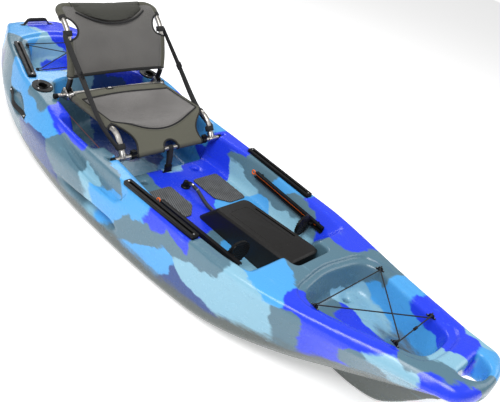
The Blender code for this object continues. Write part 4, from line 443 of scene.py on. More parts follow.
def cutWells(hull):
    width = wells["shelfWidth"]
    for name in ("bow", "stern"):
        well = wells[name]
        rim = hull.outline(well["half"], well["round"])
        inner = hull.outline(drawnIn(well["half"], width), well["round"])
        base = hull.outline(drawnIn(well["half"], width + well["taper"]), well["round"])
        shelf = hull.value("sheer") - wells["shelfDrop"]
        hull.cut(roundMax(rim, shelf - hull.z, 0.008), wells["rim"])
        hull.hollow(inner, base, shelf, well["floor"], wells["foot"], wells["rim"])


def cutCockpit(hull):
    top, floor = hull.value("sheer"), cockpit["floor"]
    hull.hollow(hull.outline(cockpit["rim"], 0.030), hull.outline(cockpit["foot"], 0.030), top, floor, 0.026, 0.014)
    half, fore, aft = cockpit["trough"]
    trough = hull.outline([(0, fore), (half, fore), (half, aft), (0, aft)], 0.028)
    hull.cut(roundMax(trough, floor - hull.z, 0.012), 0.012)
    hull.hollow(hull.outline(cockpit["seatRim"], 0.040), hull.outline(cockpit["seatBase"], 0.040), top,
                cockpit["seatFloor"], 0.034, 0.012)
    half, fore, aft, floor = cockpit["pocket"]
    foot, lean = half - cockpit["pocketLean"][0], cockpit["pocketLean"][1]
    boxes = [[(half, fore), (half, aft), (-half, aft), (-half, fore)],
             [(foot, fore + lean), (foot, aft - lean), (-foot, aft - lean), (-foot, fore + lean)]]
    upper, lower = (hull.plan(roundOutline(box, 0.024)) for box in boxes)
    hull.hollow(upper, lower, top, floor, 0.030, 0.012)
    for y, z in cockpit["bars"]:
        slot = np.where(hull.z < z, np.hypot(hull.y - y, hull.z - z), np.abs(hull.y - y) - 0.12 * (hull.z - z))
        hull.cut(roundMax(slot - cockpit["barRoom"], hull.x - cockpit["barReach"], 0.004), 0.006)


def cutSides(hull):
    fore, aft = sides["trayOuter"][0][0], sides["trayOuter"][-1][0]
    share = np.clip((hull.ys - fore) / (aft - fore), 0, 1)
    blunt = np.sqrt(np.maximum(1 - np.maximum(1 - share / 0.12, 0)**2, 0))
    point = np.sqrt(np.maximum(1 - np.maximum(1 - (1 - share) / 0.40, 0)**2, 0))
    openShare = np.maximum(blunt * point, 0.0)[:, None, None]
    inner = hull.value("deck") + 0.003
    outer = inner + (along(sides["trayOuter"], hull.ys)[:, None, None] - inner) * openShare
    rise = hull.value("beamHeight") - hull.value("sheer")
    rise = rise / np.maximum(hull.value("beam") - hull.value("deck"), 0.01)
    edge = hull.value("sheer") + (outer - hull.value("deck")) * rise
    floor = edge - (edge - along(sides["trayFloor"], hull.ys)[:, None, None]) * openShare
    outside = np.maximum(fore - hull.y, hull.y - aft)
    tray = roundMax(inner - hull.x, hull.x - outer, 0.010)
    tray = roundMax(tray, floor - hull.z, 0.022)
    hull.cut(np.maximum(tray, outside), 0.012)
    fore, aft, height, halfTall, depth = sides["scallop"]
    share = np.clip((aft - hull.ys) / (aft - fore), 0, 1)
    ends = np.sqrt(np.maximum(1 - np.maximum(1 - (1 - share) / 0.18, 0)**2, 0))
    swell = np.maximum(np.sin(math.pi * np.minimum(share / 1.7, 1)) * ends, 1e-3)[:, None, None]
    wall, low = hull.value("chine"), hull.value("chineHeight")
    lift = np.clip((height - low) / (hull.value("beamHeight") - low), 0, 1)
    wall = wall + lift * (hull.value("beam") - wall)
    tall, deep = halfTall * swell, depth * swell
    slope = 1.3 * halfTall / depth
    ledge = height + 0.3 * tall - (hull.x - (wall - deep)) * slope
    scallop = roundMax((ledge - hull.z) / math.hypot(1, slope), hull.z - (height + 0.9 * tall), 0.006)
    scallop = roundMax(scallop, wall - deep - hull.x, 0.012)
    hull.cut(np.maximum(scallop, np.maximum(fore - hull.y, hull.y - aft)), 0.012)
    fore, aft, low, high = sides["handle"]
    share = np.clip((hull.ys - fore) / (aft - fore), 0, 1)[:, None, None]
    deep = 0.002 + (sides["scoop"] - 0.002) * np.sin(math.pi * share)
    z = low + (high - low) * share
    lift = np.clip((z - hull.value("beamHeight")) / (hull.value("sheer") - hull.value("beamHeight")), 0, 1)
    wall = hull.value("beam") + lift * (hull.value("deck") - hull.value("beam"))
    tall = 0.012 + 0.7 * deep
    scoop = np.abs(hull.z - z) - 0.8 * tall - 0.9 * np.maximum(hull.x - wall + deep, 0)
    scoop = roundMax(scoop, wall - deep - hull.x, 0.012)
    hull.cut(np.maximum(scoop, np.maximum(fore - hull.y, hull.y - aft)), 0.010)
    fore, aft, half = sides["carryHole"]
    outline = [(0, fore), (0.052, fore + 0.012), (half, aft), (0, aft - 0.004)]
    hull.cut(hull.outline(outline, 0.030), 0.016)


fittings = {
    "tracks": [("gear_track_bow_port", -3.2, 0.415), ("gear_track_stern_port", 15.0, 0.335)], "span": 0.15,
    "trackHalf": 0.0205, "trackEnd": 0.0015, "trackDeep": 0.0085, "open": 0.06, "scupper": 0.014, "dish": 0.023,
    "wheel": (1.330, 0.068, 0.065, 0.0226), "holder": (0.308, 0.714), "holderSink": 0.004, "holderTurn": (8, 3.5),
    "oval": (0.0475, 0.0575, 0.05), "rake": 24, "bore": (0.0243, -0.1503), "grip": (1.352, 0.0935, 0.0135),
    "brace": [(-0.99774, 0, 0.067259, 0.256), (0.067263, 0, 0.997673, -0.640), (0, 1, 0.01121, 0.289), (0, 0, 0, 1)],
    "braceBox": ((-gap, -0.0165, -0.0015), (0.12, 0.0165, 0.4475)),
}


def cutFittings(hull):
    f = fittings
    for x, y, floor in cockpit["scuppers"]:
        reach = np.hypot(hull.x - x, hull.y - y)
        hull.cut(reach - f["scupper"], 0.005)
        hull.cut(roundMax(reach - f["dish"], floor - 0.004 - hull.z, 0.004), 0.005)
    for name, yaw, length in f["tracks"]:
        low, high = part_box(name)
        middle = 0.5 * (Vector(low) + Vector(high))
        rise = deckHeight(middle.x, middle.y + f["span"]) - deckHeight(middle.x, middle.y - f["span"])
        turn = Matrix.Rotation(math.radians(yaw), 4, "Z") @ Matrix.Rotation(math.atan2(rise, 2 * f["span"]), 4, "X")
        wide, long = f["trackHalf"], length / 2 + f["trackEnd"]
        seat = hull.slab(Matrix.Translation(middle) @ turn, (-wide, -long, -f["trackDeep"]), (wide, long, f["open"]))
        hull.cut(seat, 0.004)
    y, z, radius, slot = f["wheel"]
    hull.cut(np.maximum(np.hypot(hull.y - y, hull.z - z) - radius, hull.x - slot), 0.008)
    hull.cut(hull.slab(Matrix(f["brace"]), *f["braceBox"]), 0.008)
    x, y = f["holder"]
    holder = frameAt((x, y, deckHeight(x, y) - f["holderSink"]), *f["holderTurn"])
    u, v, w = hull.local(holder)
    wide, long, size = f["oval"]
    hull.cut(np.maximum((np.sqrt((u / wide)**2 + (v / long)**2) - 1) * size, -gap - w), 0.004)
    u, v, w = hull.local(holder @ Matrix.Rotation(math.radians(f["rake"]), 4, "X"))
    radius, foot = f["bore"]
    hull.cut(np.maximum(np.hypot(u, v) - radius, foot - w), 0.004)
    y, wide, long = f["grip"]
    grip = Matrix.Translation((0, y, float(line("sheer", y)) - 0.002))
    hull.cut(hull.slab(grip, (-wide, -long, -gap), (wide, long, f["open"])), 0.004)


def sampleField(field, spots):                           # value and slope between the grid's points
    base = np.clip(np.floor(spots).astype(int), 0, np.array(field.shape) - 2)
    f = spots - base
    i, j, k = base.T
    c = [[[field[i + a, j + b, k + d] for d in (0, 1)] for b in (0, 1)] for a in (0, 1)]
    fx, fy, fz = f.T
    c00, c01 = c[0][0][0] * (1 - fx) + c[1][0][0] * fx, c[0][0][1] * (1 - fx) + c[1][0][1] * fx
    c10, c11 = c[0][1][0] * (1 - fx) + c[1][1][0] * fx, c[0][1][1] * (1 - fx) + c[1][1][1] * fx
    c0, c1 = c00 * (1 - fy) + c10 * fy, c01 * (1 - fy) + c11 * fy
    return c0 * (1 - fz) + c1 * fz


def surfaceMesh(field, origin, step):                    # one vertex in each grid cell that the skin crosses
    inside = field < 0
    shape = np.array(field.shape) - 1
    count = np.zeros(shape, dtype=np.int8)
    for a in (0, 1):
        for b in (0, 1):
            for c in (0, 1):
                count += inside[a:a + shape[0], b:b + shape[1], c:c + shape[2]]
    crossed = (count > 0) & (count < 8)
    cells = np.argwhere(crossed)
    number = np.full(shape, -1)
    number[crossed] = np.arange(len(cells))
    total, hits = np.zeros((len(cells), 3)), np.zeros(len(cells))
    for axis in range(3):
        others = [k for k in range(3) if k != axis]
        for b in (0, 1):
            for c in (0, 1):
                start = np.zeros(3, dtype=int)
                start[others[0]], start[others[1]] = b, c
                end = start.copy()
                end[axis] = 1
                va, vb = field[tuple((cells + start).T)], field[tuple((cells + end).T)]
                meets = (va < 0) != (vb < 0)
                share = np.where(meets, va / np.where(va == vb, 1, va - vb), 0)
                total += np.where(meets[:, None], start + share[:, None] * (end - start), 0)
                hits += meets
    spots = cells + total / hits[:, None]
    slopes = np.gradient(field)
    for _ in range(3):
        value = sampleField(field, spots)
        slope = np.stack([sampleField(s, spots) for s in slopes], axis=-1)
        move = -value[:, None] * slope / np.maximum((slope**2).sum(axis=1, keepdims=True), 1e-9)
        spots = spots + np.clip(move, -0.4, 0.4)
    faces = []
    for axis in range(3):
        b, c = [k for k in range(3) if k != axis]
        size = np.array(field.shape)
        size[axis] -= 1
        first = [slice(0, size[k]) for k in range(3)]
        second = list(first)
        second[axis] = slice(1, size[axis] + 1)
        low, high = inside[tuple(first)], inside[tuple(second)]
        for flipped in (False, True):
            edges = np.argwhere((low & ~high) if flipped else (~low & high))
            edges = edges[(edges[:, b] > 0) & (edges[:, c] > 0)]
            corners = []
            for db, dc in ((-1, -1), (0, -1), (0, 0), (-1, 0)):
                cell = edges.copy()
                cell[:, b] += db
                cell[:, c] += dc
                corners.append(number[tuple(cell.T)])
            quad = np.stack(corners, axis=1)
            faces.append(quad[:, ::-1] if flipped != (axis == 1) else quad)
    return spots * step + origin, np.concatenate(faces)


def buildHull(finish):
    step = hullLines["voxel"]
    hull = HullField(step)
    cutWells(hull)
    cutCockpit(hull)
    cutSides(hull)
    cutFittings(hull)
    whole = np.concatenate([hull.solid[:, ::-1, :], hull.solid], axis=1).transpose(1, 0, 2)
    origin = np.array([-hull.xs[-1], hull.ys[0], hull.zs[0]])
    verts, faces = surfaceMesh(whole, origin, step)
    mesh = bpy.data.meshes.new("hullShell")
    mesh.vertices.add(len(verts))
    mesh.vertices.foreach_set("co", verts.astype(np.float32).ravel())
    mesh.loops.add(faces.size)
    mesh.loops.foreach_set("vertex_index", faces.astype(np.int32).ravel())
    mesh.polygons.add(len(faces))
    mesh.polygons.foreach_set("loop_start", np.arange(0, faces.size, 4, dtype=np.int32))
    mesh.update(calc_edges=True)
    mesh.validate()
    settle(addObject("hullShell", mesh, finish), "hull", ["hull"])
    print("hull", len(verts), "points", len(faces), "faces")


camo = {
    "tones": {"royal": (0.015, 0.046, 0.74), "sky": (0.068, 0.34, 0.72), "pale": (0.23, 0.45, 0.58),
              "slate": (0.085, 0.172, 0.228), "navy": (0.018, 0.055, 0.22)},
    "base": (0.078, 0.092, 0.086),
    "patches": [
        ("sky", -0.15, 1.21, 0.41), ("royal", 0.08, 1.25, 0.41), ("slate", -0.35, 0.99, 0.28),
        ("slate", -0.21, 1.14, 0.40), ("pale", -0.04, 1.19, 0.31), ("royal", -0.01, 1.09, 0.27),
        ("pale", 0.02, 0.93, 0.27), ("sky", -0.36, 0.84, 0.33), ("slate", -0.37, 0.67, 0.36),
        ("slate", -0.37, 0.87, 0.24), ("royal", -0.35, 0.44, 0.34), ("royal", -0.37, 0.29, 0.34),
        ("slate", -0.37, 0.15, 0.33), ("sky", -0.32, 0.00, 0.33), ("slate", -0.41, 0.35, 0.27),
        ("sky", -0.39, 0.52, 0.31), ("navy", -0.42, 0.55, 0.20), ("sky", -0.39, 0.66, 0.29),
        ("sky", -0.41, 0.00, 0.24), ("sky", -0.37, -0.15, 0.31), ("royal", -0.36, -0.30, 0.32),
        ("royal", -0.37, -0.43, 0.33), ("slate", -0.36, -0.55, 0.33), ("slate", -0.38, -0.42, 0.28),
        ("pale", -0.37, -0.55, 0.22), ("pale", -0.35, -0.72, 0.30), ("pale", -0.33, -0.82, 0.26),
        ("slate", -0.40, -0.21, 0.20), ("navy", -0.37, -0.45, 0.11), ("sky", -0.38, -0.33, 0.14),
        ("sky", -0.27, -0.80, 0.34), ("sky", -0.21, -0.75, 0.34), ("royal", -0.25, -0.98, 0.35),
        ("royal", -0.21, -1.12, 0.37), ("royal", -0.18, -1.21, 0.38), ("slate", -0.30, -0.93, 0.27),
        ("royal", -0.26, -1.04, 0.29), ("slate", -0.23, -1.19, 0.31), ("pale", -0.20, -1.28, 0.35),
        ("pale", -0.04, -1.40, 0.40), ("slate", -0.12, -1.36, 0.40), ("royal", -0.16, -1.45, 0.38),
        ("royal", 0.07, -1.40, 0.40), ("slate", -0.06, -1.51, 0.41), ("sky", 0.06, -1.51, 0.40),
        ("royal", 0.30, 0.07, 0.33), ("royal", 0.32, -0.03, 0.33), ("slate", 0.33, -0.18, 0.33),
        ("slate", 0.28, -0.13, 0.27), ("sky", 0.32, -0.35, 0.33), ("royal", 0.30, -0.63, 0.33),
        ("royal", 0.25, -0.79, 0.34), ("slate", 0.22, -0.93, 0.35), ("slate", 0.10, -0.76, 0.30),
        ("sky", 0.19, -1.09, 0.36), ("royal", 0.15, -1.25, 0.38), ("sky", 0.31, 0.20, 0.33),
        ("royal", 0.32, 0.40, 0.34), ("slate", -0.10, -0.85, 0.33), ("slate", 0.10, -0.87, 0.30),
        ("pale", 0.10, -0.93, 0.22), ("slate", -0.04, -0.90, 0.26), ("sky", 0.14, -1.12, 0.26),
        ("pale", 0.09, -1.05, 0.22), ("slate", -0.08, -1.08, 0.23), ("sky", 0.08, -1.24, 0.24),
        ("royal", 0.00, -1.06, 0.215), ("royal", -0.04, 0.05, 0.20), ("royal", 0.20, 0.05, 0.20),
        ("sky", 0.21, 0.25, 0.11), ("pale", -0.01, 0.20, 0.15), ("royal", -0.14, -0.30, 0.19),
        ("slate", -0.12, -0.41, 0.19), ("sky", -0.12, -0.50, 0.19), ("pale", -0.12, -0.60, 0.20),
        ("slate", 0.28, -0.25, 0.27), ("pale", 0.26, -0.13, 0.22), ("slate", 0.26, -0.42, 0.26),
        ("pale", 0.24, -0.40, 0.21), ("sky", 0.22, -0.30, 0.19), ("slate", -0.18, -0.02, 0.19),
        # the navy patches low in the seat well (y 0.40 to 0.76) are painted shade: they darken the well where the
        # seat shades it
        ("navy", -0.20, 0.40, 0.16), ("navy", 0.18, 0.40, 0.14), ("navy", 0.0, 0.55, 0.16),
        ("slate", -0.15, 0.72, 0.13), ("navy", 0.10, 0.76, 0.24), ("slate", -0.38, 0.04, 0.28),
        ("slate", -0.39, 0.22, 0.24), ("pale", -0.36, 0.12, 0.24), ("sky", 0.30, 0.62, 0.37),
        ("royal", 0.26, 0.80, 0.38), ("slate", 0.27, 1.00, 0.39), ("navy", -0.24, 1.25, 0.22),
        ("sky", -0.12, 1.42, 0.34), ("slate", 0.05, 1.50, 0.28), ("royal", 0.40, 0.50, 0.22),
        ("slate", 0.42, 0.20, 0.20), ("sky", 0.41, -0.05, 0.24), ("royal", 0.38, -0.36, 0.18),
        ("pale", 0.37, -0.60, 0.22), ("slate", 0.33, -0.85, 0.24), ("sky", 0.28, -1.02, 0.27),
        ("royal", 0.22, -1.24, 0.30), ("pale", 0.17, -1.42, 0.37), ("pale", 0.38, 0.82, 0.26),
        ("royal", 0.30, 1.08, 0.30), ("sky", 0.20, 1.28, 0.26),
    ],
    "stretch": (1.25, 0.80, 1.45), "warp": 0.085, "warpScale": 5.5, "ragged": 0.020, "raggedScale": 34.0,
    "edge": 0.010, "roughness": 0.24,
}


def camoFinish():
    finish = Finish("camoPlastic", camo["tones"]["sky"], camo["roughness"])
    place = finish.place()
    warp = finish.noise(place, camo["warpScale"], 2.0, 0.5, "Color")
    ragged = finish.noise(finish.scaled(place, (1, 0.35, 1)), camo["raggedScale"], 3.0, 0.7, "Color")
    moved = finish.shift(finish.shift(place, warp, camo["warp"]), ragged, camo["ragged"])
    moved = finish.node("ShaderNodeVectorMath", {"operation": "MULTIPLY"}, [moved, camo["stretch"]])
    colour, nearest = None, None
    for tone, *spot in camo["patches"]:
        centre = [a * b for a, b in zip(spot, camo["stretch"])]
        far = finish.node("ShaderNodeVectorMath", {"operation": "DISTANCE"}, [moved, centre], 1)
        if nearest:
            wins = (nearest - far).between(-camo["edge"], camo["edge"])
            colour = finish.mix(wins, colour, camo["tones"][tone])
            nearest = nearest.least(far)
        else:
            colour, nearest = (*camo["tones"][tone], 1.0), far
    _, y, z = finish.split(place)
    smear = finish.noise(finish.scaled(place, (6, 1.6, 9)), 3.0, 5.0, 0.65)
    level = z - 0.085 - (-0.55 - y).most(0) * 0.21 + (smear - 0.5) * 0.10
    colour = finish.mix(level.between(0.022, -0.018), colour, camo["base"])
    speck = finish.noise(place, 210.0, 3.0, 0.7)
    flow = finish.noise(finish.scaled(place, (14, 3, 20)), 2.0, 6.0, 0.7)
    colour = finish.mix(flow.between(0.60, 0.78) * 0.45, colour, camo["tones"]["pale"])
    colour = finish.mix(flow.between(0.42, 0.24) * 0.35, colour, camo["tones"]["navy"])
    colour = finish.mix(speck.between(0.68, 0.80) * level.between(0.20, 0.02) * 0.5, colour, (0.50, 0.66, 0.74))
    wear = finish.noise(place, 26.0, 4.0, 0.6)
    grain = finish.noise(place, 900.0, 2.0, 0.5)
    wave = finish.noise(place, 11.0, 1.0, 0.4)
    ripple = finish.bump(wave, 0.004, 0.25, finish.bump(grain, 0.0003, 0.3))
    return finish.use(Base_Color=colour, Roughness=camo["roughness"] + (wear - 0.4) * 0.22, Normal=ripple)


buildHull(camoFinish())


# Paths and shapes that the pieces share
def smoothPath(points, steps):
    points = [Vector(p) for p in points]
    path = []
    for i in range(len(points) - 1):
        a, b = points[max(i - 1, 0)], points[i]
        c, d = points[i + 1], points[min(i + 2, len(points) - 1)]
        for k in range(steps):
            t = k / steps
            path.append(0.5 * (2 * b + (c - a) * t + (2 * a - 5 * b + 4 * c - d) * t**2
                               + (3 * b - a - 3 * c + d) * t**3))
    return path + [points[-1]]


def runsAlong(path):                                     # length of a path up to each of its points
    runs = [0.0]
    for a, b in zip(path, path[1:]):
        runs.append(runs[-1] + (b - a).length)
    return runs


def disc(radius, sides=12):
    turns = [2 * math.pi * k / sides for k in range(sides)]
    return [(radius * math.cos(a), radius * math.sin(a)) for a in turns]


def flat(width, thick, edge=0.3):                        # strap section with eased edges
    w, t, e = width / 2, thick / 2, thick * edge
    return [(-w + e, -t), (w - e, -t), (w, -t + e), (w, t - e),
            (w - e, t), (-w + e, t), (-w, t - e), (-w, -t + e)]


class Pile:                                              # shapes gathered into one piece, with their own UV
    def __init__(self):
        self.verts, self.faces, self.uvs = [], [], []

    def add(self, verts, faces, uvs=None):
        start = len(self.verts)
        self.verts += [tuple(v) for v in verts]
        self.faces += [tuple(i + start for i in face) for face in faces]
        self.uvs += uvs or [[(0.0, 0.0)] * len(face) for face in faces]
        return self

    def sweep(self, path, section, hint=None, loop=False, sizes=None):
        path = [Vector(p) for p in path]
        count, width = len(path), len(section)
        runs = runsAlong(path)
        runs.append(runs[-1] + (path[0] - path[-1]).length)
        girth = [0.0]
        for a, b in zip(section, section[1:] + section[:1]):
            girth.append(girth[-1] + math.dist(a, b))
        verts, side = [], None
        for i, spot in enumerate(path):
            before = path[i - 1] if loop or i else spot
            after = path[(i + 1) % count] if loop or i + 1 < count else spot
            run = (after - before).normalized()
            side = Vector(hint[i] if isinstance(hint, list) else hint) if hint else (side or run.orthogonal())
            side = (side - run * side.dot(run)).normalized()
            up = run.cross(side)
            size = sizes[i] if sizes else 1.0
            verts += [spot + (side * u + up * v) * size for u, v in section]
        faces, uvs = [], []
        for i in range(count if loop else count - 1):
            a, b = i * width, ((i + 1) % count) * width
            for k in range(width):
                m = (k + 1) % width
                faces.append((a + k, a + m, b + m, b + k))
                uvs.append([(runs[i], girth[k]), (runs[i], girth[k + 1]),
                            (runs[i + 1], girth[k + 1]), (runs[i + 1], girth[k])])
        if not loop:
            for ring in (range(width), range((count - 1) * width, count * width)):
                faces.append(tuple(ring))
                uvs.append([(0.0, 0.0)] * width)
        return self.add(verts, faces, uvs)

    def rings(self, rings):                              # closed body through stacked outlines
        count, width = len(rings), len(rings[0])
        faces = [(j * width + k, j * width + (k + 1) % width, (j + 1) * width + (k + 1) % width, (j + 1) * width + k)
                 for j in range(count - 1) for k in range(width)]
        faces += [tuple(range(width)), tuple(range((count - 1) * width, count * width))]
        return self.add([p for ring in rings for p in ring], faces)

    def grid(self, rows):                                # open sheet through rows of points, UV in metres
        high, wide = len(rows), len(rows[0])
        faces, uvs = [], []
        rise = [0.0]
        for a, b in zip(rows, rows[1:]):
            rise.append(rise[-1] + math.dist(a[wide // 2], b[wide // 2]))
        for j in range(high - 1):
            for i in range(wide - 1):
                faces.append((j * wide + i, j * wide + i + 1, (j + 1) * wide + i + 1, (j + 1) * wide + i))
                uvs.append([(rows[j][i][0], rise[j]), (rows[j][i + 1][0], rise[j]),
                            (rows[j + 1][i + 1][0], rise[j + 1]), (rows[j + 1][i][0], rise[j + 1])])
        return self.add([p for row in rows for p in row], faces, uvs)

    def item(self, name, finish, sharp=None):
        mesh = bpy.data.meshes.new(name)
        mesh.from_pydata(self.verts, [], self.faces)
        layer = mesh.uv_layers.new(name="UVMap")
        layer.data.foreach_set("uv", [value for face in self.uvs for pair in face for value in pair])
        return addObject(name, mesh, finish, sharp)


def applied(item):                                       # modifiers turned into the mesh
    shape = bpy.data.meshes.new_from_object(item.evaluated_get(bpy.context.evaluated_depsgraph_get()))
    item.modifiers.clear()
    item.data = shape
    return item


def softened(item):
    soft = item.modifiers.new("soft", "SUBSURF")
    soft.levels = soft.render_levels = 1
    return applied(item)


def thicken(item, thick):
    solid = item.modifiers.new("thickness", "SOLIDIFY")
    solid.thickness, solid.offset, solid.use_even_offset = thick, 0.0, True
    return softened(item)


# Geometry node trees with named sizes
class Graph:
    def __init__(self, name, sizes):
        self.tree = bpy.data.node_groups.new(name, "GeometryNodeTree")
        face = self.tree.interface
        face.new_socket(name="Geometry", in_out="INPUT", socket_type="NodeSocketGeometry")
        for key in sizes:
            face.new_socket(name=key, in_out="INPUT", socket_type="NodeSocketFloat")
        face.new_socket(name="Finish", in_out="INPUT", socket_type="NodeSocketMaterial")
        face.new_socket(name="Geometry", in_out="OUTPUT", socket_type="NodeSocketGeometry")
        self.start = self.tree.nodes.new("NodeGroupInput")
        self.end = self.tree.nodes.new("NodeGroupOutput")

    def size(self, name):
        return self.start.outputs[name]

    def node(self, kind, settings=None, sockets=None):
        made = self.tree.nodes.new(kind)
        for key, value in (settings or {}).items():
            setattr(made, key, value)
        pairs = sockets.items() if isinstance(sockets, dict) else enumerate(sockets or [])
        for socket, value in pairs:
            if isinstance(value, bpy.types.NodeSocket):
                self.tree.links.new(value, made.inputs[socket])
            else:
                made.inputs[socket].default_value = value
        return made

    def maths(self, kind, a, b):
        return self.node("ShaderNodeMath", {"operation": kind}, [a, b]).outputs[0]

    def close(self, geometry):
        real = self.node("GeometryNodeRealizeInstances", None, {"Geometry": geometry}).outputs[0]
        done = self.node("GeometryNodeSetMaterial", None, {"Geometry": real, "Material": self.size("Finish")})
        self.tree.links.new(done.outputs[0], self.end.inputs[0])
        return self

    def grow(self, name, source, finish, sizes, sharp=None):
        work = source.modifiers.new("tree", "NODES")
        work.node_group = self.tree
        values = {**sizes, "Finish": finish}
        for socket in self.tree.interface.items_tree:
            if socket.item_type == "SOCKET" and socket.in_out == "INPUT" and socket.name in values:
                work[socket.identifier] = values[socket.name]
        mesh = bpy.data.meshes.new_from_object(source.evaluated_get(bpy.context.evaluated_depsgraph_get()))
        source.modifiers.clear()
        bpy.data.objects.remove(source)
        item = addObject(name, mesh, None, sharp)
        if not mesh.materials:
            mesh.materials.append(finish)
        return item


def stitchGraph():                                       # short thread beads along edge paths
    graph = Graph("stitchRow", ["Pitch", "Length", "Thread"])
    line = graph.node("GeometryNodeMeshToCurve", None, {"Mesh": graph.size("Geometry")}).outputs[0]
    spots = graph.node("GeometryNodeCurveToPoints", {"mode": "LENGTH"},
                       {"Curve": line, "Length": graph.size("Pitch")})
    bead = graph.node("GeometryNodeMeshUVSphere", None, {"Segments": 6, "Rings": 5, "Radius": 0.5}).outputs[0]
    size = graph.node("ShaderNodeCombineXYZ", None,
                      [graph.size("Thread"), graph.size("Thread"), graph.size("Length")])
    many = graph.node("GeometryNodeInstanceOnPoints", None,
                      {"Points": spots.outputs["Points"], "Instance": bead, "Rotation": spots.outputs["Rotation"],
                       "Scale": size.outputs[0]}).outputs[0]
    return graph.close(many)


def screwGraph():                                        # pan heads with a socket, facing the way each point says
    graph = Graph("panHeads", ["Radius"])
    radius = graph.size("Radius")
    head = graph.node("GeometryNodeMeshCone", None,
                      {"Vertices": 18, "Radius Top": graph.maths("MULTIPLY", radius, 0.72), "Radius Bottom": radius,
                       "Depth": graph.maths("MULTIPLY", radius, 0.5)})
    rim = graph.node("GeometryNodeExtrudeMesh", None,
                     {"Mesh": head.outputs["Mesh"], "Selection": head.outputs["Top"], "Offset Scale": 0.0})
    inner = graph.node("GeometryNodeScaleElements", None,
                       {"Geometry": rim.outputs["Mesh"], "Selection": rim.outputs["Top"], "Scale": 0.5}).outputs[0]
    socket = graph.node("GeometryNodeExtrudeMesh", None,
                        {"Mesh": inner, "Selection": rim.outputs["Top"],
                         "Offset Scale": graph.maths("MULTIPLY", radius, -0.3)})
    way = graph.node("GeometryNodeInputNamedAttribute", {"data_type": "FLOAT_VECTOR"}, {"Name": "facing"}).outputs[0]
    turn = graph.node("FunctionNodeAlignRotationToVector", {"axis": "Z"}, {"Vector": way}).outputs[0]
    many = graph.node("GeometryNodeInstanceOnPoints", None,
                      {"Points": graph.size("Geometry"), "Instance": socket.outputs["Mesh"],
                       "Rotation": turn}).outputs[0]
    return graph.close(many)


def edgeObject(paths):                                   # bare polylines for a tree to grow on
    verts, edges = [], []
    for path in paths:
        edges += [(len(verts) + i, len(verts) + i + 1) for i in range(len(path) - 1)]
        verts += [tuple(p) for p in path]
    mesh = bpy.data.meshes.new("paths")
    mesh.from_pydata(verts, edges, [])
    return placed("paths", mesh)


def stitches(name, paths, finish, pitch=0.0042, length=0.0030, thread=0.0011):
    return stitchRow.grow(name, edgeObject(paths), finish, {"Pitch": pitch, "Length": length, "Thread": thread})


def screws(name, places, radius, finish):                # places: (point, facing)
    mesh = bpy.data.meshes.new("screwSpots")
    mesh.from_pydata([tuple(p) for p, _ in places], [], [])
    facing = mesh.attributes.new("facing", "FLOAT_VECTOR", "POINT")
    facing.data.foreach_set("vector", [value for _, way in places for value in Vector(way).normalized()])
    return panHeads.grow(name, placed("screwSpots", mesh), finish, {"Radius": radius}, 30)


stitchRow, panHeads = stitchGraph(), screwGraph()


# Finishes
def plasticFinish(name, colour, roughness, grain=700.0, depth=0.0002, sheen=0.24):
    finish = Finish(name, colour, roughness, Specular_IOR_Level=sheen)
    place = finish.place()
    wear, fine = finish.noise(place, 38.0, 4.0, 0.62), finish.noise(place, grain, 2.0, 0.5)
    dust = finish.noise(place, 9.0, 5.0, 0.7)
    tone = finish.mix(dust.between(0.45, 0.8) * 0.30, colour, toned(colour, 0.85, 0.012))
    return finish.use(Base_Color=tone, Roughness=roughness + (wear - 0.5) * 0.30,
                      Normal=finish.bump(fine, depth, 0.6))


def metalFinish(name, colour, roughness, stretch, darkBelow=None):
    finish = Finish(name, colour, roughness, 1.0)
    place = finish.place()
    lines = finish.noise(finish.scaled(place, stretch), 60.0, 3.0, 0.6)
    smudge = finish.noise(place, 16.0, 4.0, 0.6)
    tone = finish.mix(smudge.between(0.35, 0.75), colour, toned(colour, 0.72))
    if darkBelow:                                        # painted dark from there down
        height = finish.split(place)[2]
        tone = finish.mix(height.between(darkBelow + 0.002, darkBelow - 0.002), tone, (0.035, 0.035, 0.037))
    return finish.use(Base_Color=tone, Roughness=roughness + (lines - 0.5) * 0.25 + (smudge - 0.5) * 0.15,
                      Normal=finish.bump(lines, 0.00025, 0.4))


def weaveFinish(name, colour, pitch, roughness=0.85, depth=0.0004, paintedSheen=0.02):   # threads over and under, on UV
    finish = Finish(name, colour, roughness)
    across, down, _ = finish.split(finish.uv())
    turn = math.pi / pitch
    over = (across * turn).sine() * (down * turn).sine()
    thread = abs((across * (2 * turn)).sine()) * 0.5 + abs((down * (2 * turn)).sine()) * 0.5
    fuzz = finish.noise(finish.place(), 160.0, 4.0, 0.6)
    # painted light and shade: threads on top are painted lighter and threads below painted darker, and the small
    # tone added to the top threads is a painted sheen
    tone = finish.mix(over.between(-0.9, 0.9), toned(colour, 0.72), toned(colour, 1.18, paintedSheen))
    tone = finish.mix(fuzz.between(0.35, 0.75) * 0.4, tone, toned(colour, 0.6))
    height = over * 0.5 + thread * 0.35 + fuzz * 0.15
    return finish.use(Base_Color=tone, Roughness=roughness + (fuzz - 0.5) * 0.2,
                      Normal=finish.bump(height, depth, 0.8))


seatLines = {
    "front": (0.176, 1.25), "rear": (0.522, -0.75), "side": 0.243,
    "mesh": (0.215, 0.205, 0.198), "backMesh": (0.140, 0.134, 0.126), "cloth": (0.096, 0.094, 0.070),
    "pitch": 0.0032, "weave": 0.0011,
}


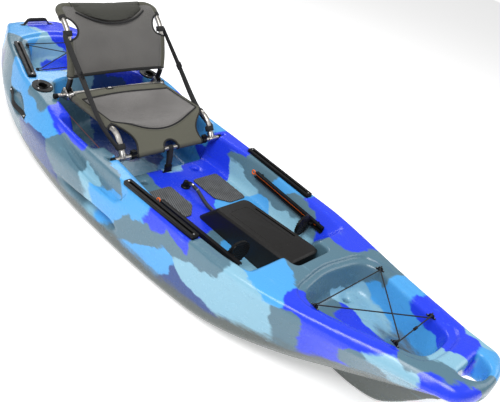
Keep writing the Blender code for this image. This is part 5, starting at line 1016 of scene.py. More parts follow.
def seatFinish(name, backrest=False):
    finish = Finish(name, seatLines["cloth"], 0.82)
    place = finish.place()
    x, y, _ = finish.split(place)
    across, down, _ = finish.split(finish.uv())
    turn = 2 * math.pi / seatLines["pitch"]              # open net: holes between crossing threads
    net = (across * turn).sine() * 0.5 + ((down * turn) + (across * (turn * 0.5))).sine() * 0.5
    hole = net.between(0.10, 0.55)
    sheen = finish.noise(finish.scaled(place, (3, 3, 3)), 2.0, 2.0, 0.5)
    thread, cloth = seatLines["backMesh" if backrest else "mesh"], seatLines["cloth"]
    light = finish.mix(sheen.between(0.3, 0.7), thread, toned(thread, 0.80))
    light = finish.mix(hole * 0.80, light, (0.022, 0.022, 0.022))
    turn = math.pi / seatLines["weave"]
    weave = (across * turn).sine() * (down * turn).sine()
    # painted light and shade: the cloth's threads are painted lighter on top and darker below
    dark = finish.mix(weave.between(-0.8, 0.8), toned(cloth, 0.8), toned(cloth, 1.2))
    fleck = finish.noise(place, 420.0, 3.0, 0.7)
    dark = finish.mix(fleck.between(0.55, 0.75) * 0.4, dark, (0.14, 0.135, 0.12))
    if backrest:
        inside = (seatLines["side"] - abs(x)).between(-0.0008, 0.0008)
    else:
        (a, b), (c, d) = seatLines["front"], seatLines["rear"]
        inside = (y - x * x * b - a).between(-0.0006, 0.0006) * (x * x * d + c - y).between(-0.0006, 0.0006)
        inside = inside * (seatLines["side"] - abs(x)).between(-0.0008, 0.0008)
    height = inside * (0.5 - net * 0.5) + (1 - inside) * weave * 0.25 + fleck * 0.12
    colour = finish.mix(inside, dark, light)
    return finish.use(Base_Color=colour, Roughness=0.62 + (1 - inside) * 0.24 + (fleck - 0.5) * 0.2,
                      Normal=finish.bump(height, 0.0006, 0.7))


def groovedFinish():
    finish = Finish("foamMat", (0.10, 0.105, 0.108), 0.9)
    place = finish.place()
    cells, fade = finish.noise(place, 1300.0, 2.0, 0.6), finish.noise(place, 22.0, 4.0, 0.6)
    tone = finish.mix(fade.between(0.3, 0.75), (0.115, 0.12, 0.123), (0.075, 0.078, 0.080))
    tone = finish.mix(cells.between(0.55, 0.8) * 0.5, tone, (0.19, 0.195, 0.20))
    height = finish.split(place)[2]                      # dark down in the grooves
    # painted shade: the floor of each groove is coloured near black, standing in for the shade down in the groove
    tone = finish.mix(height.between(0.2000, 0.1992), tone, (0.020, 0.021, 0.022))
    return finish.use(Base_Color=tone, Roughness=0.84 + (fade - 0.5) * 0.2,
                      Normal=finish.bump(cells, 0.0003, 0.7))


finishes = {
    "black": plasticFinish("blackPlastic", (0.0055, 0.0055, 0.0060), 0.40, sheen=0.14),
    "pod": plasticFinish("podPlastic", (0.0095, 0.0088, 0.0084), 0.44, 420.0, 0.0004),
    "rubber": plasticFinish("softRubber", (0.010, 0.010, 0.011), 0.60, 500.0),
    "orange": plasticFinish("orangePlastic", (0.90, 0.15, 0.010), 0.36),
    "alloy": metalFinish("satinAlloy", (0.47, 0.45, 0.42), 0.40, (1, 1, 0.25)),
    "backTube": metalFinish("backTube", (0.47, 0.45, 0.42), 0.40, (1, 1, 0.25), 0.476),
    "steel": metalFinish("castSteel", (0.46, 0.45, 0.44), 0.30, (1, 1, 1)),
    "screw": metalFinish("screwSteel", (0.62, 0.62, 0.62), 0.25, (1, 1, 1)),
    "webbing": weaveFinish("webbing", (0.0085, 0.0085, 0.0090), 0.0022, 0.8, 0.0004, 0.004),
    "braid": weaveFinish("cordBraid", (0.0075, 0.0075, 0.0080), 0.0012, 0.7, 0.0003, 0.003),
    "redBraid": weaveFinish("redCord", (0.16, 0.035, 0.022), 0.0009, 0.7),
    "piping": weaveFinish("piping", (0.0065, 0.0065, 0.0070), 0.0010, 0.75, 0.0003, 0.003),
    "thread": plasticFinish("thread", (0.030, 0.029, 0.027), 0.7, 1500.0),
    "seat": seatFinish("seatCloth"), "back": seatFinish("backCloth", True),
    "khaki": weaveFinish("khakiCloth", (0.080, 0.078, 0.058), 0.0012, 0.85, 0.0004, 0.008),
    "mat": groovedFinish(),
    "hose": plasticFinish("hoseRubber", (0.030, 0.034, 0.042), 0.5, 600.0),
}
print("finishes", len(finishes))


# Carried nodes: each keeps its solid's shape, with eased edges on a welded copy
def eased(names, finish, body, slot, width=0.0012, sharp=35, rounds=2):
    for name in names:
        form = bmesh.new()
        form.from_mesh(nodes[name].data)
        form.transform(nodes[name].matrix_world)
        bmesh.ops.remove_doubles(form, verts=form.verts, dist=2e-5)
        bmesh.ops.dissolve_limit(form, angle_limit=math.radians(1.0), verts=form.verts, edges=form.edges)
        mesh = bpy.data.meshes.new(name + "Eased")
        form.to_mesh(mesh)
        form.free()
        item = placed(name + "Eased", mesh)
        mesh.materials.append(finishes[finish])
        soft = item.modifiers.new("edges", "BEVEL")
        soft.width, soft.segments = width, rounds
        soft.limit_method, soft.angle_limit = "ANGLE", math.radians(28)
        soft.use_clamp_overlap = True
        applied(item)
        item.data.shade_smooth()
        item.data.set_sharp_from_angle(angle=math.radians(sharp))
        settle(item, body, [name])


eachSide = ((1, "port"), (-1, "starboard"))


def pairs(*names):
    return [f"{name}_{word}" for name in names for _, word in eachSide]


black = ("black", "hull", "black_plastic")
eased(pairs("gear_track_bow", "gear_track_stern"), *black)
eased(pairs("rod_holder", "foot_rail"), *black, 0.0010)
eased(pairs("bow_eye_fore", "bow_eye_aft", "stern_eye_fore", "stern_eye_aft"), *black, 0.0004)
eased(["hose_fitting", "hold_down_anchor"], *black, 0.0008)
eased(["pod_cover"], "pod", "pod", "black_plastic", 0.009, 50, 5)
for _, word in eachSide:
    eased([f"foot_pedal_{word}"], "black", f"pedal_{word}", "black_plastic", 0.0009)
eased(pairs("front_bar_cap", "rear_bar_cap", "front_clamp") + ["hold_down_buckle"], "black", "seat",
      "black_plastic", 0.0008)
eased(pairs("front_tee", "hinge_bracket"), "steel", "seat", "steel", 0.0006)
eased(["keel_wheel"], "rubber", "wheel", "rubber", 0.0010)
eased(["stern_handle"], "rubber", "hull", "rubber", 0.0010)
for name in ("front_bar", "rear_bar", "seat_rail_port", "seat_rail_starboard"):
    nodes[name].material_slots[0].material = finishes["alloy"]
print("fittings eased")


# Seat cloth: one sheet from the pan's rear edge over the front corner and down to the front bar
seatCloth = {
    "front": [(0.1047, 0.3273), (0.146, 0.3640), (0.1875, 0.4005), (0.2065, 0.4163), (0.221, 0.4218)],
    "rail": (0.409, 0.177, 0.04178), "lift": 0.0145, "sag": 0.030, "half": 0.252,
    "top": 0.236, "bar": 0.187, "waist": 0.035, "rear": (0.585, -0.75), "mouth": (0.040, 0.036),
    "thick": 0.0040, "columns": 90, "rows": 76, "roll": 0.0163, "barRoll": 0.0140, "frontBar": (0.113, 0.318),
}


height, begin, fall = seatCloth["rail"]
seatPath = smoothPath([(0, *p) for p in seatCloth["front"]] + [
    (0, y, height - fall * (y - begin) + seatCloth["lift"]) for y in (0.245, 0.32, 0.42, 0.52, 0.62)], 12)
seatRuns, seatYs, seatZs = runsAlong(seatPath), [p.y for p in seatPath], [p.z for p in seatPath]
seatCorner = np.interp(0.221, seatYs, seatRuns)


def seatHalf(run):
    t = max(0.0, 1 - run / (seatCorner - 0.012))          # 0 at the panel's top, 1 at the bar
    slope = seatCloth["top"] + (seatCloth["bar"] - seatCloth["top"]) * t - seatCloth["waist"] * math.sin(math.pi * t)
    share = min(max((run - seatCorner + 0.012) / 0.024, 0.0), 1.0)
    return slope + (seatCloth["half"] - slope) * share * share * (3 - 2 * share)


def seatPoint(run, across, lift=0.0):                    # across: -1 to 1
    y, z = (np.interp(run, seatRuns, line) for line in (seatYs, seatZs))
    ahead = [np.interp(run + 0.004, seatRuns, line) - np.interp(run - 0.004, seatRuns, line)
             for line in (seatYs, seatZs)]
    size = math.hypot(*ahead)
    back = (run - seatCorner) / 0.307
    depth = (0.45 + 0.55 * math.sin(math.pi * min(back, 1.0))) if back > 0 else 0.45 * run / seatCorner
    out = lift - seatCloth["sag"] * depth * (1 - across * across)
    return Vector((across * seatHalf(run), y - out * ahead[1] / size, z + out * ahead[0] / size))


def seatAt(x, y, lift=0.0):
    run = float(np.interp(y, seatYs, seatRuns))
    return seatPoint(run, max(-1.0, min(1.0, x / seatHalf(run))), lift)


def seatMouth(x):
    half, rise = seatCloth["mouth"]
    return rise * math.sqrt(max(0.0, 1 - (x / half) ** 2))


def seatLine(middle, bow, half, shift=0.0, lift=0.0024):  # bowed line across the pan
    return [seatAt(x, middle + shift + bow * x * x, lift) for x in np.linspace(-half, half, 61)]


def railPoint(side, y):                                  # on the side tube's line
    return (side * 0.256, y, height - fall * (y - begin))


def buildSeat():
    c = seatCloth
    columns, rows = c["columns"], c["rows"]
    start, bow = c["rear"]
    front, rear, side = seatLines["front"], seatLines["rear"], seatLines["side"]
    lines = []
    for j in range(rows + 1):
        line = []
        for i in range(columns + 1):
            across = -1 + 2 * i / columns
            first = seatMouth(across * c["bar"])
            last = float(np.interp(start + bow * (across * c["half"]) ** 2, seatYs, seatRuns))
            line.append(seatPoint(first + (last - first) * j / rows, across))
        lines.append(line)
    cloth = thicken(Pile().grid(lines).item("seatCloth", finishes["seat"]), c["thick"])
    settle(cloth, "seat", ["seat_sling", "seat_front_panel"])
    hems, bands, piping, rows = Pile(), Pile(), Pile(), []
    for sense, _ in eachSide:
        hems.sweep([railPoint(sense, y) for y in np.linspace(0.224, 0.526, 24)], disc(c["roll"], 20))
        for ends in ((0.222, 0.231), (0.519, 0.528)):
            bands.sweep([railPoint(sense, y) for y in ends], disc(c["roll"] + 0.0009, 20))
        hems.sweep([(sense * x, *c["frontBar"]) for x in np.linspace(0.041, 0.187, 12)], disc(c["barRoll"], 18))
        for ends in ((0.0405, 0.047), (0.181, 0.1875)):
            bands.sweep([(sense * x, *c["frontBar"]) for x in ends], disc(c["barRoll"] + 0.0008, 18))
        piping.sweep([seatPoint(run, sense) for run in np.linspace(0.004, seatCorner + 0.016, 30)], disc(0.0046, 10))
        piping.sweep([seatAt(sense * side, y, 0.0022) for y in np.linspace(0.250, 0.478, 34)], disc(0.0030, 8))
        rows.append([seatAt(sense * (side - 0.007), y, 0.0026) for y in np.linspace(0.258, 0.472, 34)])
    for edge in (front, rear):
        piping.sweep(seatLine(*edge, side, 0.0, 0.0022), disc(0.0042, 10))
    half = c["mouth"][0]
    around = [half * -math.cos(math.pi * k / 28) for k in range(29)]
    piping.sweep([seatPoint(seatMouth(x) + 0.001, x / seatHalf(seatMouth(x))) for x in around], disc(0.0050, 10))
    piping.sweep(seatLine(start, bow, 0.246, -0.0015, 0.0), disc(0.0034, 8))
    for shift in (-0.008, 0.008):
        rows += [seatLine(*edge, 0.236, shift) for edge in (front, rear)]
    rows.append(seatLine(start, bow, 0.24, -0.009))
    settle(hems.item("seatHems", finishes["khaki"], 40), "seat")
    settle(bands.item("seatBands", finishes["webbing"], 40), "seat")
    settle(piping.item("seatPiping", finishes["piping"], 50), "seat")
    settle(stitches("seatStitches", rows, finishes["thread"]), "seat")
    print("seat cloth", len(cloth.data.vertices), "points")


buildSeat()


# Backrest: sleeve, hems and headrest
backCloth = {
    "profile": [(0.576, 0.440), (0.570, 0.480), (0.584, 0.565), (0.627, 0.672), (0.690, 0.722), (0.742, 0.740)],
    "low": 0.480, "high": 0.7388, "half": 0.256, "cut": (0.675, 0.036, 0.050), "corner": 0.045, "bend": 0.7291,
    "bar": (0.742, 0.740), "foot": (0.5865, 0.402),
    "edge": 0.0125, "sag": 0.022, "columns": 60, "rows": 112, "roll": 0.0163,
}
backPath = smoothPath([(0, *p) for p in backCloth["profile"]], 16)
backYs, backZs = [p.y for p in backPath], [p.z for p in backPath]


def backPoint(x, z, lift=0.0):
    y, above, below = (float(np.interp(at, backZs, backYs)) for at in (z, z + 0.003, z - 0.003))
    run = above - below
    size = math.hypot(run, 0.006)
    return Vector((x, y - lift * 0.006 / size, z + lift * run / size))


def backLift(x, z):
    share = min(max((z - backCloth["low"]) / (backCloth["high"] - backCloth["low"]), 0.0), 1.0)
    sag = backCloth["sag"] * (0.35 + 0.65 * math.sin(math.pi * min(0.8 * share + 0.1, 1.0)))
    return backCloth["edge"] - sag * (1 - min(abs(x) / backCloth["half"], 1.0) ** 2)


def backHalf(z):                                         # drawn in at the cut-out, round at the top corner
    middle, high, deep = backCloth["cut"]
    if abs(z - middle) < high:
        return backCloth["half"] - deep * math.sqrt(1 - ((z - middle) / high) ** 2)
    if z > backCloth["bend"]:
        rise = min((z - backCloth["bend"]) / (backCloth["bar"][1] - backCloth["bend"]), 1.0)
        return backCloth["half"] - backCloth["corner"] * (1 - math.sqrt(1 - rise * rise))
    return backCloth["half"]


def cornerPath(side):                                    # tube's line round a top corner
    path, radius = [], backCloth["corner"]
    for k in range(13):
        angle = 0.5 * math.pi * k / 12
        x = backCloth["half"] - radius * (1 - math.cos(angle))
        path.append(Vector((side * x, 0.6984 + 0.0436 * math.sin(angle), 0.7291 + 0.0109 * math.sin(angle))))
    return path


def buildBackTube():
    half, foot = backCloth["half"], backCloth["foot"]
    rise = smoothPath([(half, *p) for p in [foot] + backCloth["profile"][:5]], 8)
    port = rise[:-1] + cornerPath(1)
    whole = port + [Vector((-p.x, p.y, p.z)) for p in reversed(port)]
    tube = Pile().sweep(whole, disc(0.0125, 20))
    settle(tube.item("backTube", finishes["backTube"], 50), "backrest", ["backrest_frame"])


def buildSleeve():
    lines = []
    for j in range(backCloth["rows"] + 1):
        z = backCloth["low"] + (backCloth["high"] - backCloth["low"]) * j / backCloth["rows"]
        half = backHalf(z)
        xs = [half * (-1 + 2 * i / backCloth["columns"]) for i in range(backCloth["columns"] + 1)]
        lines.append([backPoint(x, z, backLift(x, z)) for x in xs])
    sleeve = thicken(Pile().grid(lines).item("backSleeve", finishes["back"]), 0.004)
    settle(sleeve, "backrest", ["backrest_sleeve"])
    hems, piping, rows = Pile(), Pile(), []
    tube = [backPoint(backCloth["half"], z) for z in np.linspace(backCloth["low"] + 0.002, 0.638, 22)]
    for side in (1, -1):
        hems.sweep([(side * p.x, p.y, p.z) for p in tube], disc(backCloth["roll"], 20))
        corner = [backPoint(side * 0.256, 0.7125)] + cornerPath(side) + [Vector((side * 0.18, *backCloth["bar"]))]
        hems.sweep(corner, disc(backCloth["roll"], 20))
        edge = [backPoint(side * backHalf(z), z, backLift(backHalf(z), z)) for z in np.linspace(0.6395, 0.7105, 50)]
        piping.sweep(edge, disc(0.0046, 10))
        for z in (backCloth["low"] + 0.001, 0.632, 0.711):
            a, b = backPoint(side * 0.256, z), backPoint(side * 0.256, z + 0.007)
            piping.sweep([a, b], disc(backCloth["roll"] + 0.0009, 20))
        rows.append([backPoint(side * 0.232, z, backLift(0.232, z) + 0.0024) for z in np.linspace(0.486, 0.632, 30)])
    low = backCloth["low"]
    band = [backPoint(x, low + 0.007, backLift(x, low + 0.007)) for x in np.linspace(-0.250, 0.250, 50)]
    piping.sweep(band, flat(0.016, 0.0062), (0, 0.1, 1))
    seam = low + 0.014
    rows.append([backPoint(x, seam, backLift(x, seam) + 0.0030) for x in np.linspace(-0.246, 0.246, 60)])
    settle(hems.item("backHems", finishes["khaki"], 40), "backrest")
    settle(piping.item("backPiping", finishes["piping"], 50), "backrest")
    settle(stitches("backStitches", rows, finishes["thread"]), "backrest")
    print("backrest sleeve")


headrest = {"half": 0.186, "low": 0.694, "rise": 0.034, "thick": 0.012, "roll": 0.0165, "voxel": 0.0045,
            "cap": 0.007, "ceiling": 0.7560}


def headLow(x):
    return headrest["low"] + headrest["rise"] * (x / headrest["half"]) ** 2


def headRing(x):                                         # section of the pad: face, over the bar, down its back
    low, top = headLow(x), 0.734
    full = 1 - 0.45 * (x / headrest["half"]) ** 2
    face = []
    for k in range(7):
        share = k / 6
        z = low + (top - low) * share
        face.append(backPoint(x, z, 0.0065 + headrest["thick"] * full * math.sin(math.pi * (0.12 + 0.62 * share))))
    bar, angles = Vector((x, *backCloth["bar"])), np.radians([112, 82, 52, 22, -8, -38, -68])
    over = [bar + headrest["roll"] * Vector((0, math.cos(a), math.sin(a))) for a in angles]
    back = [backPoint(x, low + (top - low) * share, 0.0030) for share in (0.9, 0.6, 0.3, 0.0)]
    return face + over + back


def swelled(item, pressure=3.0):                         # cloth simulation, its result kept as the mesh
    remesh = item.modifiers.new("even", "REMESH")
    remesh.mode, remesh.voxel_size = "VOXEL", headrest["voxel"]
    applied(item)
    rest = [v.co.copy() for v in item.data.vertices]
    cloth = item.modifiers.new("cloth", "CLOTH")
    cloth.settings.quality, cloth.settings.mass = 6, 0.2
    cloth.settings.use_pressure, cloth.settings.uniform_pressure_force = True, pressure
    cloth.settings.tension_stiffness = cloth.settings.compression_stiffness = 12
    cloth.settings.effector_weights.gravity = 0
    cloth.point_cache.frame_start, cloth.point_cache.frame_end = 1, 20
    for step in range(1, 21):
        bpy.context.scene.frame_set(step)
    applied(item)
    bpy.context.scene.frame_set(1)
    for vertex, old in zip(item.data.vertices, rest):
        move = vertex.co - old
        if move.length > headrest["cap"]:
            vertex.co = old + move.normalized() * headrest["cap"]
    return item


def buildHeadrest():
    rings = [headRing(x) for x in np.linspace(-headrest["half"], headrest["half"], 41)]
    item = swelled(Pile().rings(rings).item("headrestPad", clothOn("headrestCloth", (0.036, 0.036, 0.029))))
    ceiling, ends = headrest["ceiling"], headrest["half"] + 0.0015
    for vertex in item.data.vertices:
        vertex.co.z = min(vertex.co.z, ceiling)
        vertex.co.x = min(max(vertex.co.x, -ends), ends)
        vertex.co.y = min(vertex.co.y, 0.7575)
    softened(item)
    item.data.shade_smooth()
    settle(item, "backrest", ["headrest_panel"])
    piping = Pile()
    rim = [backPoint(x, headLow(x) - 0.0035, 0.0095) for x in np.linspace(-headrest["half"], headrest["half"], 61)]
    piping.sweep(rim, disc(0.0044, 10))
    radius, angles = headrest["roll"] - 0.0005, np.radians(range(-60, 300, 20))
    for side, _ in eachSide:
        bar = Vector((side * headrest["half"], *backCloth["bar"]))
        end = [bar + radius * Vector((0, math.cos(a), math.sin(a))) for a in angles]
        piping.sweep(end, disc(0.0026, 8), loop=True)
    rows = [[backPoint(x, headLow(x) + 0.010, 0.0142) for x in np.linspace(-0.16, 0.16, 60)]]
    settle(piping.item("headrestPiping", finishes["piping"], 50), "backrest")
    settle(stitches("headrestStitches", rows, finishes["thread"]), "backrest")
    print("headrest", len(item.data.vertices), "points")


def clothOn(name, colour):                               # fine weave in object space, for a pad without UV
    finish = Finish(name, colour, 0.86)
    place = finish.place()
    x, y, z = finish.split(place)
    turn = math.pi / 0.0016
    weave = (x * turn).sine() * ((z + y * 0.8) * turn).sine()
    fleck, folds = finish.noise(place, 380.0, 3.0, 0.7), finish.noise(place, 26.0, 3.0, 0.6)
    # painted light and shade: the weave's threads are painted lighter on top and darker below
    tone = finish.mix(weave.between(-0.8, 0.8), toned(colour, 0.8), toned(colour, 1.25))
    tone = finish.mix(fleck.between(0.55, 0.75) * 0.5, tone, toned(colour, 1.7))
    return finish.use(Base_Color=tone, Roughness=0.82 + (fleck - 0.5) * 0.2,
                      Normal=finish.bump(folds, 0.004, 0.5, finish.bump(weave * 0.5 + fleck * 0.5, 0.0005, 0.7)))


buildBackTube()
buildSleeve()
buildHeadrest()


# Straps, their buckles and the hold-down strap
strapSetup = {
    "route": [(0.6245, 0.664), (0.458, 0.539), (0.284, 0.410), (0.1412, 0.3581)], "out": 0.2752, "width": 0.025,
    "thick": 0.0018, "twist": 1.0, "across": (0, -0.59, 0.81), "loop": 0.0192, "lean": (0, 0.5753, 0.8180),
    "top": (0, 0.412, 0.911),
}


def ladderBuckle(pile, middle, run, across, out, width, thick):
    wide, deep, half = width / 2 + 0.004, thick / 2 + 0.0020, 0.013

    def spot(u, v, w):
        return middle + run * u + across * v + out * w

    for v in (-wide, wide):
        pile.sweep([spot(-half, v, 0), spot(half, v, 0)], flat(2 * deep, 0.0048), out)
    for u in (-half, -0.25 * half, 0.62 * half, half):
        lift = 0.0 if u == -half else deep * 0.9
        pile.sweep([spot(u, -wide, lift), spot(u, wide, lift)], flat(0.0046, 0.0030), run)
    return pile


def buildStraps():
    s = strapSetup
    across = Vector(s["across"]).normalized()
    for side, word in eachSide:
        run = smoothPath([(side * s["out"], *p) for p in s["route"]], 14)
        hints = []
        for i, spot in enumerate(run):                   # the webbing turns half over between its loops
            share = 1 - i / (len(run) - 1)
            turn = share if side < 0 else 1 - share
            angle = s["twist"] * math.sin(0.5 * math.pi * turn) ** 2 * min(1, 9 * (1 - turn))
            hints.append(Matrix.Rotation(angle, 3, Vector((0, 0.80, 0.60))) @ across)
        strap = Pile().sweep(run, flat(s["width"], s["thick"]), hints)
        for end, axis in ((s["route"][0], s["top"]), (s["route"][-1], s["lean"])):
            axis = Vector(axis).normalized()
            middle, level = Vector((side * 0.256, *end)), axis.cross((1, 0, 0)).normalized()
            ring = [middle + s["loop"] * (Vector((1, 0, 0)) * math.cos(a) + level * math.sin(a))
                    for a in np.radians(range(0, 360, 15))]
            strap.sweep(ring, flat(s["width"], s["thick"]), axis, loop=True)
        item = strap.item(f"backStrap_{word}", finishes["webbing"], 50)
        way = (Vector((0, *s["route"][0])) - Vector((0, *s["route"][2]))).normalized()
        spot = Vector((side * (s["out"] + 0.0006), *s["route"][1]))
        buckle = ladderBuckle(Pile(), spot, way, across, Vector((side, 0, 0)), s["width"], s["thick"])
        made = buckle.item(f"strapBuckle_{word}", finishes["black"], 40)
        for piece, node, name in ((item, "back_strap", "webbing"), (made, "strap_buckle", "black_plastic")):
            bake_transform(piece)
            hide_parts(f"{node}_{word}")
    print("straps")


def buildHoldDown():
    pile, section = Pile(), flat(strapSetup["width"], strapSetup["thick"])
    for side, _ in eachSide:
        pile.sweep(smoothPath([(0, 0.101 + side * 0.0045, 0.2335), (0, 0.101 + side * 0.007, 0.26),
                               (0, 0.108 + side * 0.0085, 0.300), (0, 0.113 + side * 0.0116, 0.3165)], 6),
                   section, (1, 0, 0))
    (y, z), radius = seatCloth["frontBar"], 0.0117       # once round the front bar
    over = [(0, y + radius * math.cos(a), z + radius * math.sin(a)) for a in np.radians(range(-4, 190, 12))]
    pile.sweep(over, section, (1, 0, 0))
    settle(pile.item("holdDownStrap", finishes["webbing"], 50), "seat", ["hold_down_strap"])


buildStraps()
buildHoldDown()
eased(pairs("side_handle"), "webbing", "hull", "webbing", 0.0004, 50, 1)


# Cords
cordSetup = {"radius": 0.0024, "base": 0.0022, "hole": 0.0066, "bar": 0.0030, "width": 0.008, "inboard": 0.014}


eyes = {"bow": (14, {"fore": (0.203, -0.961), "aft": (0.120, -1.235)}),
        "stern": (15, {"fore": (0.180, 1.105), "aft": (0.246, 0.872)})}


def cordTurn(frameHere, low):
    c = cordSetup
    level, middle = c["hole"] / 2 + c["bar"] / 2, c["base"] + c["hole"] + c["bar"] / 2
    turn = [(-c["inboard"], -level), (-c["width"] / 2, -level)]
    turn += [(c["width"] / 2 + level * math.cos(a), level * math.sin(a)) for a in np.radians(range(-90, 91, 18))]
    turn += [(-c["width"] / 2, level), (-c["inboard"], level)]
    if not low:
        turn.reverse()
    return [frameHere @ Vector((u, 0, middle + w)) for u, w in turn]


def buildBungee(end):
    heading, spots = eyes[end]
    frames = {}
    for part, (x, y) in spots.items():
        low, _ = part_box(f"{end}_eye_{part}_port")
        here = frameAt((x, y, low.z), heading)
        frames[part, "port"] = here
        frames[part, "starboard"] = Matrix.Diagonal((-1, 1, 1, 1)) @ here
    path = []
    for part, word in (("aft", "starboard"), ("fore", "port"), ("fore", "starboard"), ("aft", "port")):
        path += cordTurn(frames[part, word], part == "aft")
    start = path[-1].lerp(path[0], 0.5)
    run = (path[0] - start).normalized()
    route = [start + run * 0.0015] + path + [start - run * 0.0015]
    fine = [route[0]]
    for a, b in zip(route, route[1:]):
        parts = max(1, round((b - a).length / 0.02))
        fine += [a.lerp(b, k / parts) for k in range(1, parts + 1)]
    cord = Pile().sweep(fine, disc(cordSetup["radius"], 10)).item(f"{end}Bungee", finishes["braid"], 60)
    settle(cord, "hull", [f"{end}_bungee"])
    bead = Pile().sweep([start + run * t for t in (-0.012, -0.009, 0.009, 0.012)], disc(0.0052, 14),
                        sizes=[0.6, 1.0, 1.0, 0.6])
    bead = settle(bead.item(f"{end}Bead", finishes["black"], 50), "hull")
    length = runsAlong(fine)[-1]
    print(end, "bungee", round(length, 3))


buildBungee("bow")
buildBungee("stern")


def buildSideCord():
    fore, aft = Vector((-0.304, 0.205, 0.313)), Vector((-0.299, 0.472, 0.336))
    run = (aft - fore).normalized() * 0.010
    path = [(fore - run).lerp(aft + run, k / 40) for k in range(41)]
    cord = Pile().sweep(path, disc(0.0015, 8)).item("sideCord", finishes["redBraid"], 60)
    settle(cord, "hull", ["side_cord"])
    (path[-1] - path[0]).length


def buildHose():
    lean = Vector((-0.03, -0.97, 0.24)).normalized()
    first = Vector((0, -0.037, 0.219)) + lean * (0.032 + gap)
    floor = 0.2043
    knots = [first + lean * 0.009 * k for k in range(3)]
    knots += [(-0.006, -0.122, floor + 0.0275), (-0.010, -0.160, floor + 0.0165), (-0.012, -0.198, floor + 0.005),
              (-0.012, -0.235, floor), (-0.012, -0.262, floor)]
    fine = smoothPath(knots, 40)
    runs = runsAlong(fine)
    length, pitch = runs[-1], 0.0074
    count = 8 * round(length / pitch)
    path, sizes = [], []
    for k in range(count + 1):
        goal = length * k / count
        path.append(Vector([float(np.interp(goal, runs, [p[m] for p in fine])) for m in range(3)]))
        plain = goal < 0.018 or goal > length - 0.018
        sizes.append(1.0 if plain else 0.933 + 0.067 * math.cos(2 * math.pi * goal / pitch))
    hose = Pile().sweep(path, disc(0.009, 20), sizes=sizes).item("podHose", finishes["hose"], 70)
    settle(hose, "hull", ["pod_hose"])
    collar = Pile().sweep(path[14:26], disc(0.0100, 24))
    collar.sweep(path[58:64], disc(0.0098, 24))
    ring = settle(collar.item("hoseCollar", finishes["screw"], 40), "hull")
    print("hose", round(length, 3))


buildSideCord()
buildHose()


# Grooved mats, the pod's raised outline and the pan's rear buckle
matSetup = {
    "corners": [(0.066, -0.008), (0.216, -0.008), (0.216, -0.222), (0.116, -0.222), (0.066, -0.167)],
    "round": 0.018, "low": 0.1953, "groove": 0.1989, "top": 0.2003, "pitch": 0.0095, "rib": 0.0064,
    "way": (-0.31, -0.95),
}


def roundedPlan(corners, radius, steps=5):
    plan = []
    for i, spot in enumerate(corners):
        spot, before, after = Vector(spot), Vector(corners[i - 1]), Vector(corners[(i + 1) % len(corners)])
        a, b = (before - spot).normalized(), (after - spot).normalized()
        half = 0.5 * math.acos(max(-1, min(1, a.dot(b))))
        reach = min(radius / math.tan(half), 0.45 * min((before - spot).length, (after - spot).length))
        for k in range(steps + 1):                       # corner as a quadratic curve
            t = k / steps
            plan.append((1 - t) ** 2 * (spot + a * reach) + 2 * t * (1 - t) * spot + t * t * (spot + b * reach))
    return plan


def clipped(plan, way, limit):                           # part of a convex outline on the low side of a line
    kept = []
    for a, b in zip(plan, plan[1:] + plan[:1]):
        da, db = a.dot(way) - limit, b.dot(way) - limit
        if da <= 0:
            kept.append(a)
        if (da < 0 < db) or (db < 0 < da):
            kept.append(a.lerp(b, da / (da - db)))
    return kept


def slab(pile, plan, low, high, ease=0.0004):
    middle = sum(plan, Vector((0, 0))) / len(plan)
    return pile.rings([[(*(p + (middle - p).normalized() * inset), z) for p in plan]
                       for z, inset in ((low, 0.0), (high - ease, 0.0), (high, ease))])


def buildMats():
    m = matSetup
    across = Vector((-m["way"][1], m["way"][0])).normalized()
    for side, word in eachSide:
        plan = [Vector((side * p.x, p.y)) for p in roundedPlan(m["corners"], m["round"])]
        pile = slab(Pile(), plan, m["low"], m["groove"])
        spread = [p.dot(across) for p in plan]
        place = min(spread) + 0.002
        while place < max(spread) - 0.002:
            strip = clipped(clipped(plan, across, place + m["rib"]), -across, -place)
            if len(strip) > 2:
                slab(pile, strip, m["groove"] - 0.0002, m["top"])
            place += m["pitch"]
        settle(pile.item(f"matRibs_{word}", finishes["mat"], 40), "hull", [f"floor_mat_{word}"])


def surfaceSpot(name, start, way):                       # where a straight look meets a carried node
    mesh = nodes[name].data
    tree = BVHTree.FromPolygons([v.co for v in mesh.vertices], [tuple(p.vertices) for p in mesh.polygons])
    place, normal, _, _ = tree.ray_cast(Vector(start), Vector(way).normalized())
    return (place, normal) if place else None


screwSetup = {
    "track_bow": [(0.3365, -0.459), (0.3575, -0.071)], "track_stern": [(0.3065, 0.815), (0.2285, 1.116)],
    "flange": (0.308, 0.7185, 0.038, 0.046, (100, 215, 325)), "eyeReach": 0.0132,
    "handle": [(0.679, 0.2495), (0.886, 0.2795)], "bolt": [(0.556, 0.398), (0.604, 0.402)],
}


def addScrews(name, looks, radius, body="hull"):         # looks: (node, start, way, facing)
    places = []
    for node, start, way, facing in looks:
        found = surfaceSpot(node, start, way)
        if found:
            out = Vector(facing) if facing else found[1]
            places.append((found[0] + out.normalized() * radius * 0.22, out))
    settle(screws(name, places, radius, finishes["screw"]), body)
    print(name, len(places))


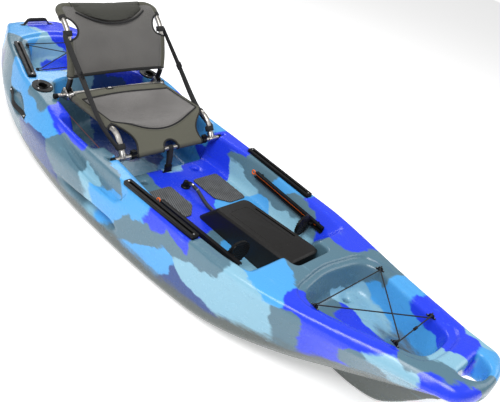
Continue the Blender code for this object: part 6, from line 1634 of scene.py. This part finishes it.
def buildScrews():
    s = screwSetup
    tracks, flanges, eyeScrews, handles, bolts = [], [], [], [], []
    for side, word in eachSide:
        def above(node, x, y, facing=None):
            return f"{node}_{word}", (side * x, y, 0.6), (0, 0, -1), facing

        for end in ("bow", "stern"):
            tracks += [above(f"gear_track_{end}", x, y) for x, y in s[f"track_{end}"]]
        x, y, wide, long, angles = s["flange"]
        flanges += [above("rod_holder", x + wide * math.cos(a), y + long * math.sin(a)) for a in np.radians(angles)]
        for end, (heading, spots) in eyes.items():
            way = math.radians(heading)
            for part, (x, y) in spots.items():
                for reach in (-s["eyeReach"], s["eyeReach"]):
                    across, down = x - reach * math.sin(way), y + reach * math.cos(way)
                    eyeScrews.append(above(f"{end}_eye_{part}", across, down, (0, 0, 1)))
        inward = (-side, 0, 0)
        handles += [(f"side_handle_{word}", (side * 0.6, y, z), inward, None) for y, z in s["handle"]]
        bolts += [(f"hinge_bracket_{word}", (side * 0.4, y, z), inward, (side, 0, 0)) for y, z in s["bolt"]]
    addScrews("trackScrews", tracks, 0.0042)
    addScrews("flangeScrews", flanges, 0.0040)
    addScrews("eyeScrews", eyeScrews, 0.0023)
    addScrews("handleScrews", handles, 0.0042)
    addScrews("hingeBolts", bolts, 0.0055, "seat")


def buildDetails():
    plan = roundedPlan([(-0.060, -0.372), (0.046, -0.372), (0.046, -0.655), (-0.060, -0.655)], 0.020, 6)
    rises = [0.2930 + (0.3216 - 0.2930) * (-0.324 - p.y) / (0.745 - 0.324) for p in plan]     # the cover's slope
    line = Pile().sweep([(p.x, p.y, z - 0.0002) for p, z in zip(plan, rises)], disc(0.0013, 8), loop=True)
    settle(line.item("podOutline", finishes["pod"], 60), "pod")
    pile, x = Pile(), -0.035
    y = seatCloth["rear"][0] + seatCloth["rear"][1] * x * x - 0.010
    low = [seatAt(x + shift, y, 0.0045) for shift in (-0.018, 0.018)]
    pile.sweep(low, flat(0.016, 0.005), (0, 1, 0.1))
    settle(pile.item("panBuckle", finishes["black"], 40), "seat")
    ends = [seatAt(x + shift, y, 0.0078) for shift in (-0.009, 0.009)]
    clasp = Pile().sweep(ends, flat(0.0055, 0.002), (0, 1, 0.1))
    settle(clasp.item("panClasp", finishes["steel"], 40), "seat")


# Ribbed oval faces on the pedals, and the rods with their finger rings
pedalSetup = {"middle": (0.193, -0.572, 0.290), "half": (0.052, 0.049), "thick": 0.006, "ribs": 9, "rib": 0.0034,
              "yaw": 6.5}
rodSetup = {"ring": (0.27866, -0.1775, 0.29419), "radius": 0.0098, "thick": 0.0027, "rod": 0.0028,
            "start": (0.27778, -0.1905, 0.29404), "end": (0.2502, -0.600, 0.28944)}


def buildPedalFaces():
    m = pedalSetup
    wide, tall = m["half"]
    for side, word in eachSide:
        upright = frameAt(m["middle"], m["yaw"]) @ Matrix.Rotation(math.radians(90), 4, "X")
        here = Matrix.Diagonal((side, 1, 1, 1)) @ upright
        pile = Pile().rings([[here @ Vector((wide * share * u, tall * share * v, level * m["thick"]))
                              for u, v in disc(1.0, 36)]
                             for level, share in ((-1, 0.93), (-0.7, 1.0), (0.7, 1.0), (1, 0.93))])
        for face in (-1, 1):
            for k in range(m["ribs"]):
                level = tall * (-0.84 + 1.68 * k / (m["ribs"] - 1))
                reach = wide * 0.93 * math.sqrt(max(0.05, 1 - (level / tall) ** 2))
                line = [here @ Vector((reach * t, level + 0.0035 * (t * t - 1), face * m["thick"]))
                        for t in np.linspace(-1, 1, 13)]
                pile.sweep(line, disc(m["rib"] * 0.62, 8))
        settle(pile.item(f"pedalFace_{word}", finishes["black"], 40), f"pedal_{word}")


def buildRods():
    r = rodSetup
    for side, word in eachSide:
        flip = Matrix.Diagonal((side, 1, 1, 1))
        start, end, middle = (flip @ Vector(r[key]) for key in ("start", "end", "ring"))
        run = (start - end).normalized()
        up = (Vector((0, 0, 1)) - run * run.z).normalized()
        loop = [middle + r["radius"] * (run * math.cos(a) + up * math.sin(a)) for a in np.radians(range(0, 360, 12))]
        pile = Pile().sweep(loop, disc(r["thick"], 12), loop=True)
        pile.sweep([end, end.lerp(start, 0.5), start], disc(r["rod"], 14))
        pile.sweep([start, middle - run * r["radius"]], disc(r["rod"] * 0.9, 12))
        item = pile.item(f"twistRod_{word}", finishes["orange"], 50)
        settle(item, f"rod_{word}", [f"twist_rod_{word}"])


buildPedalFaces()
buildRods()
buildMats()
buildScrews()
buildDetails()
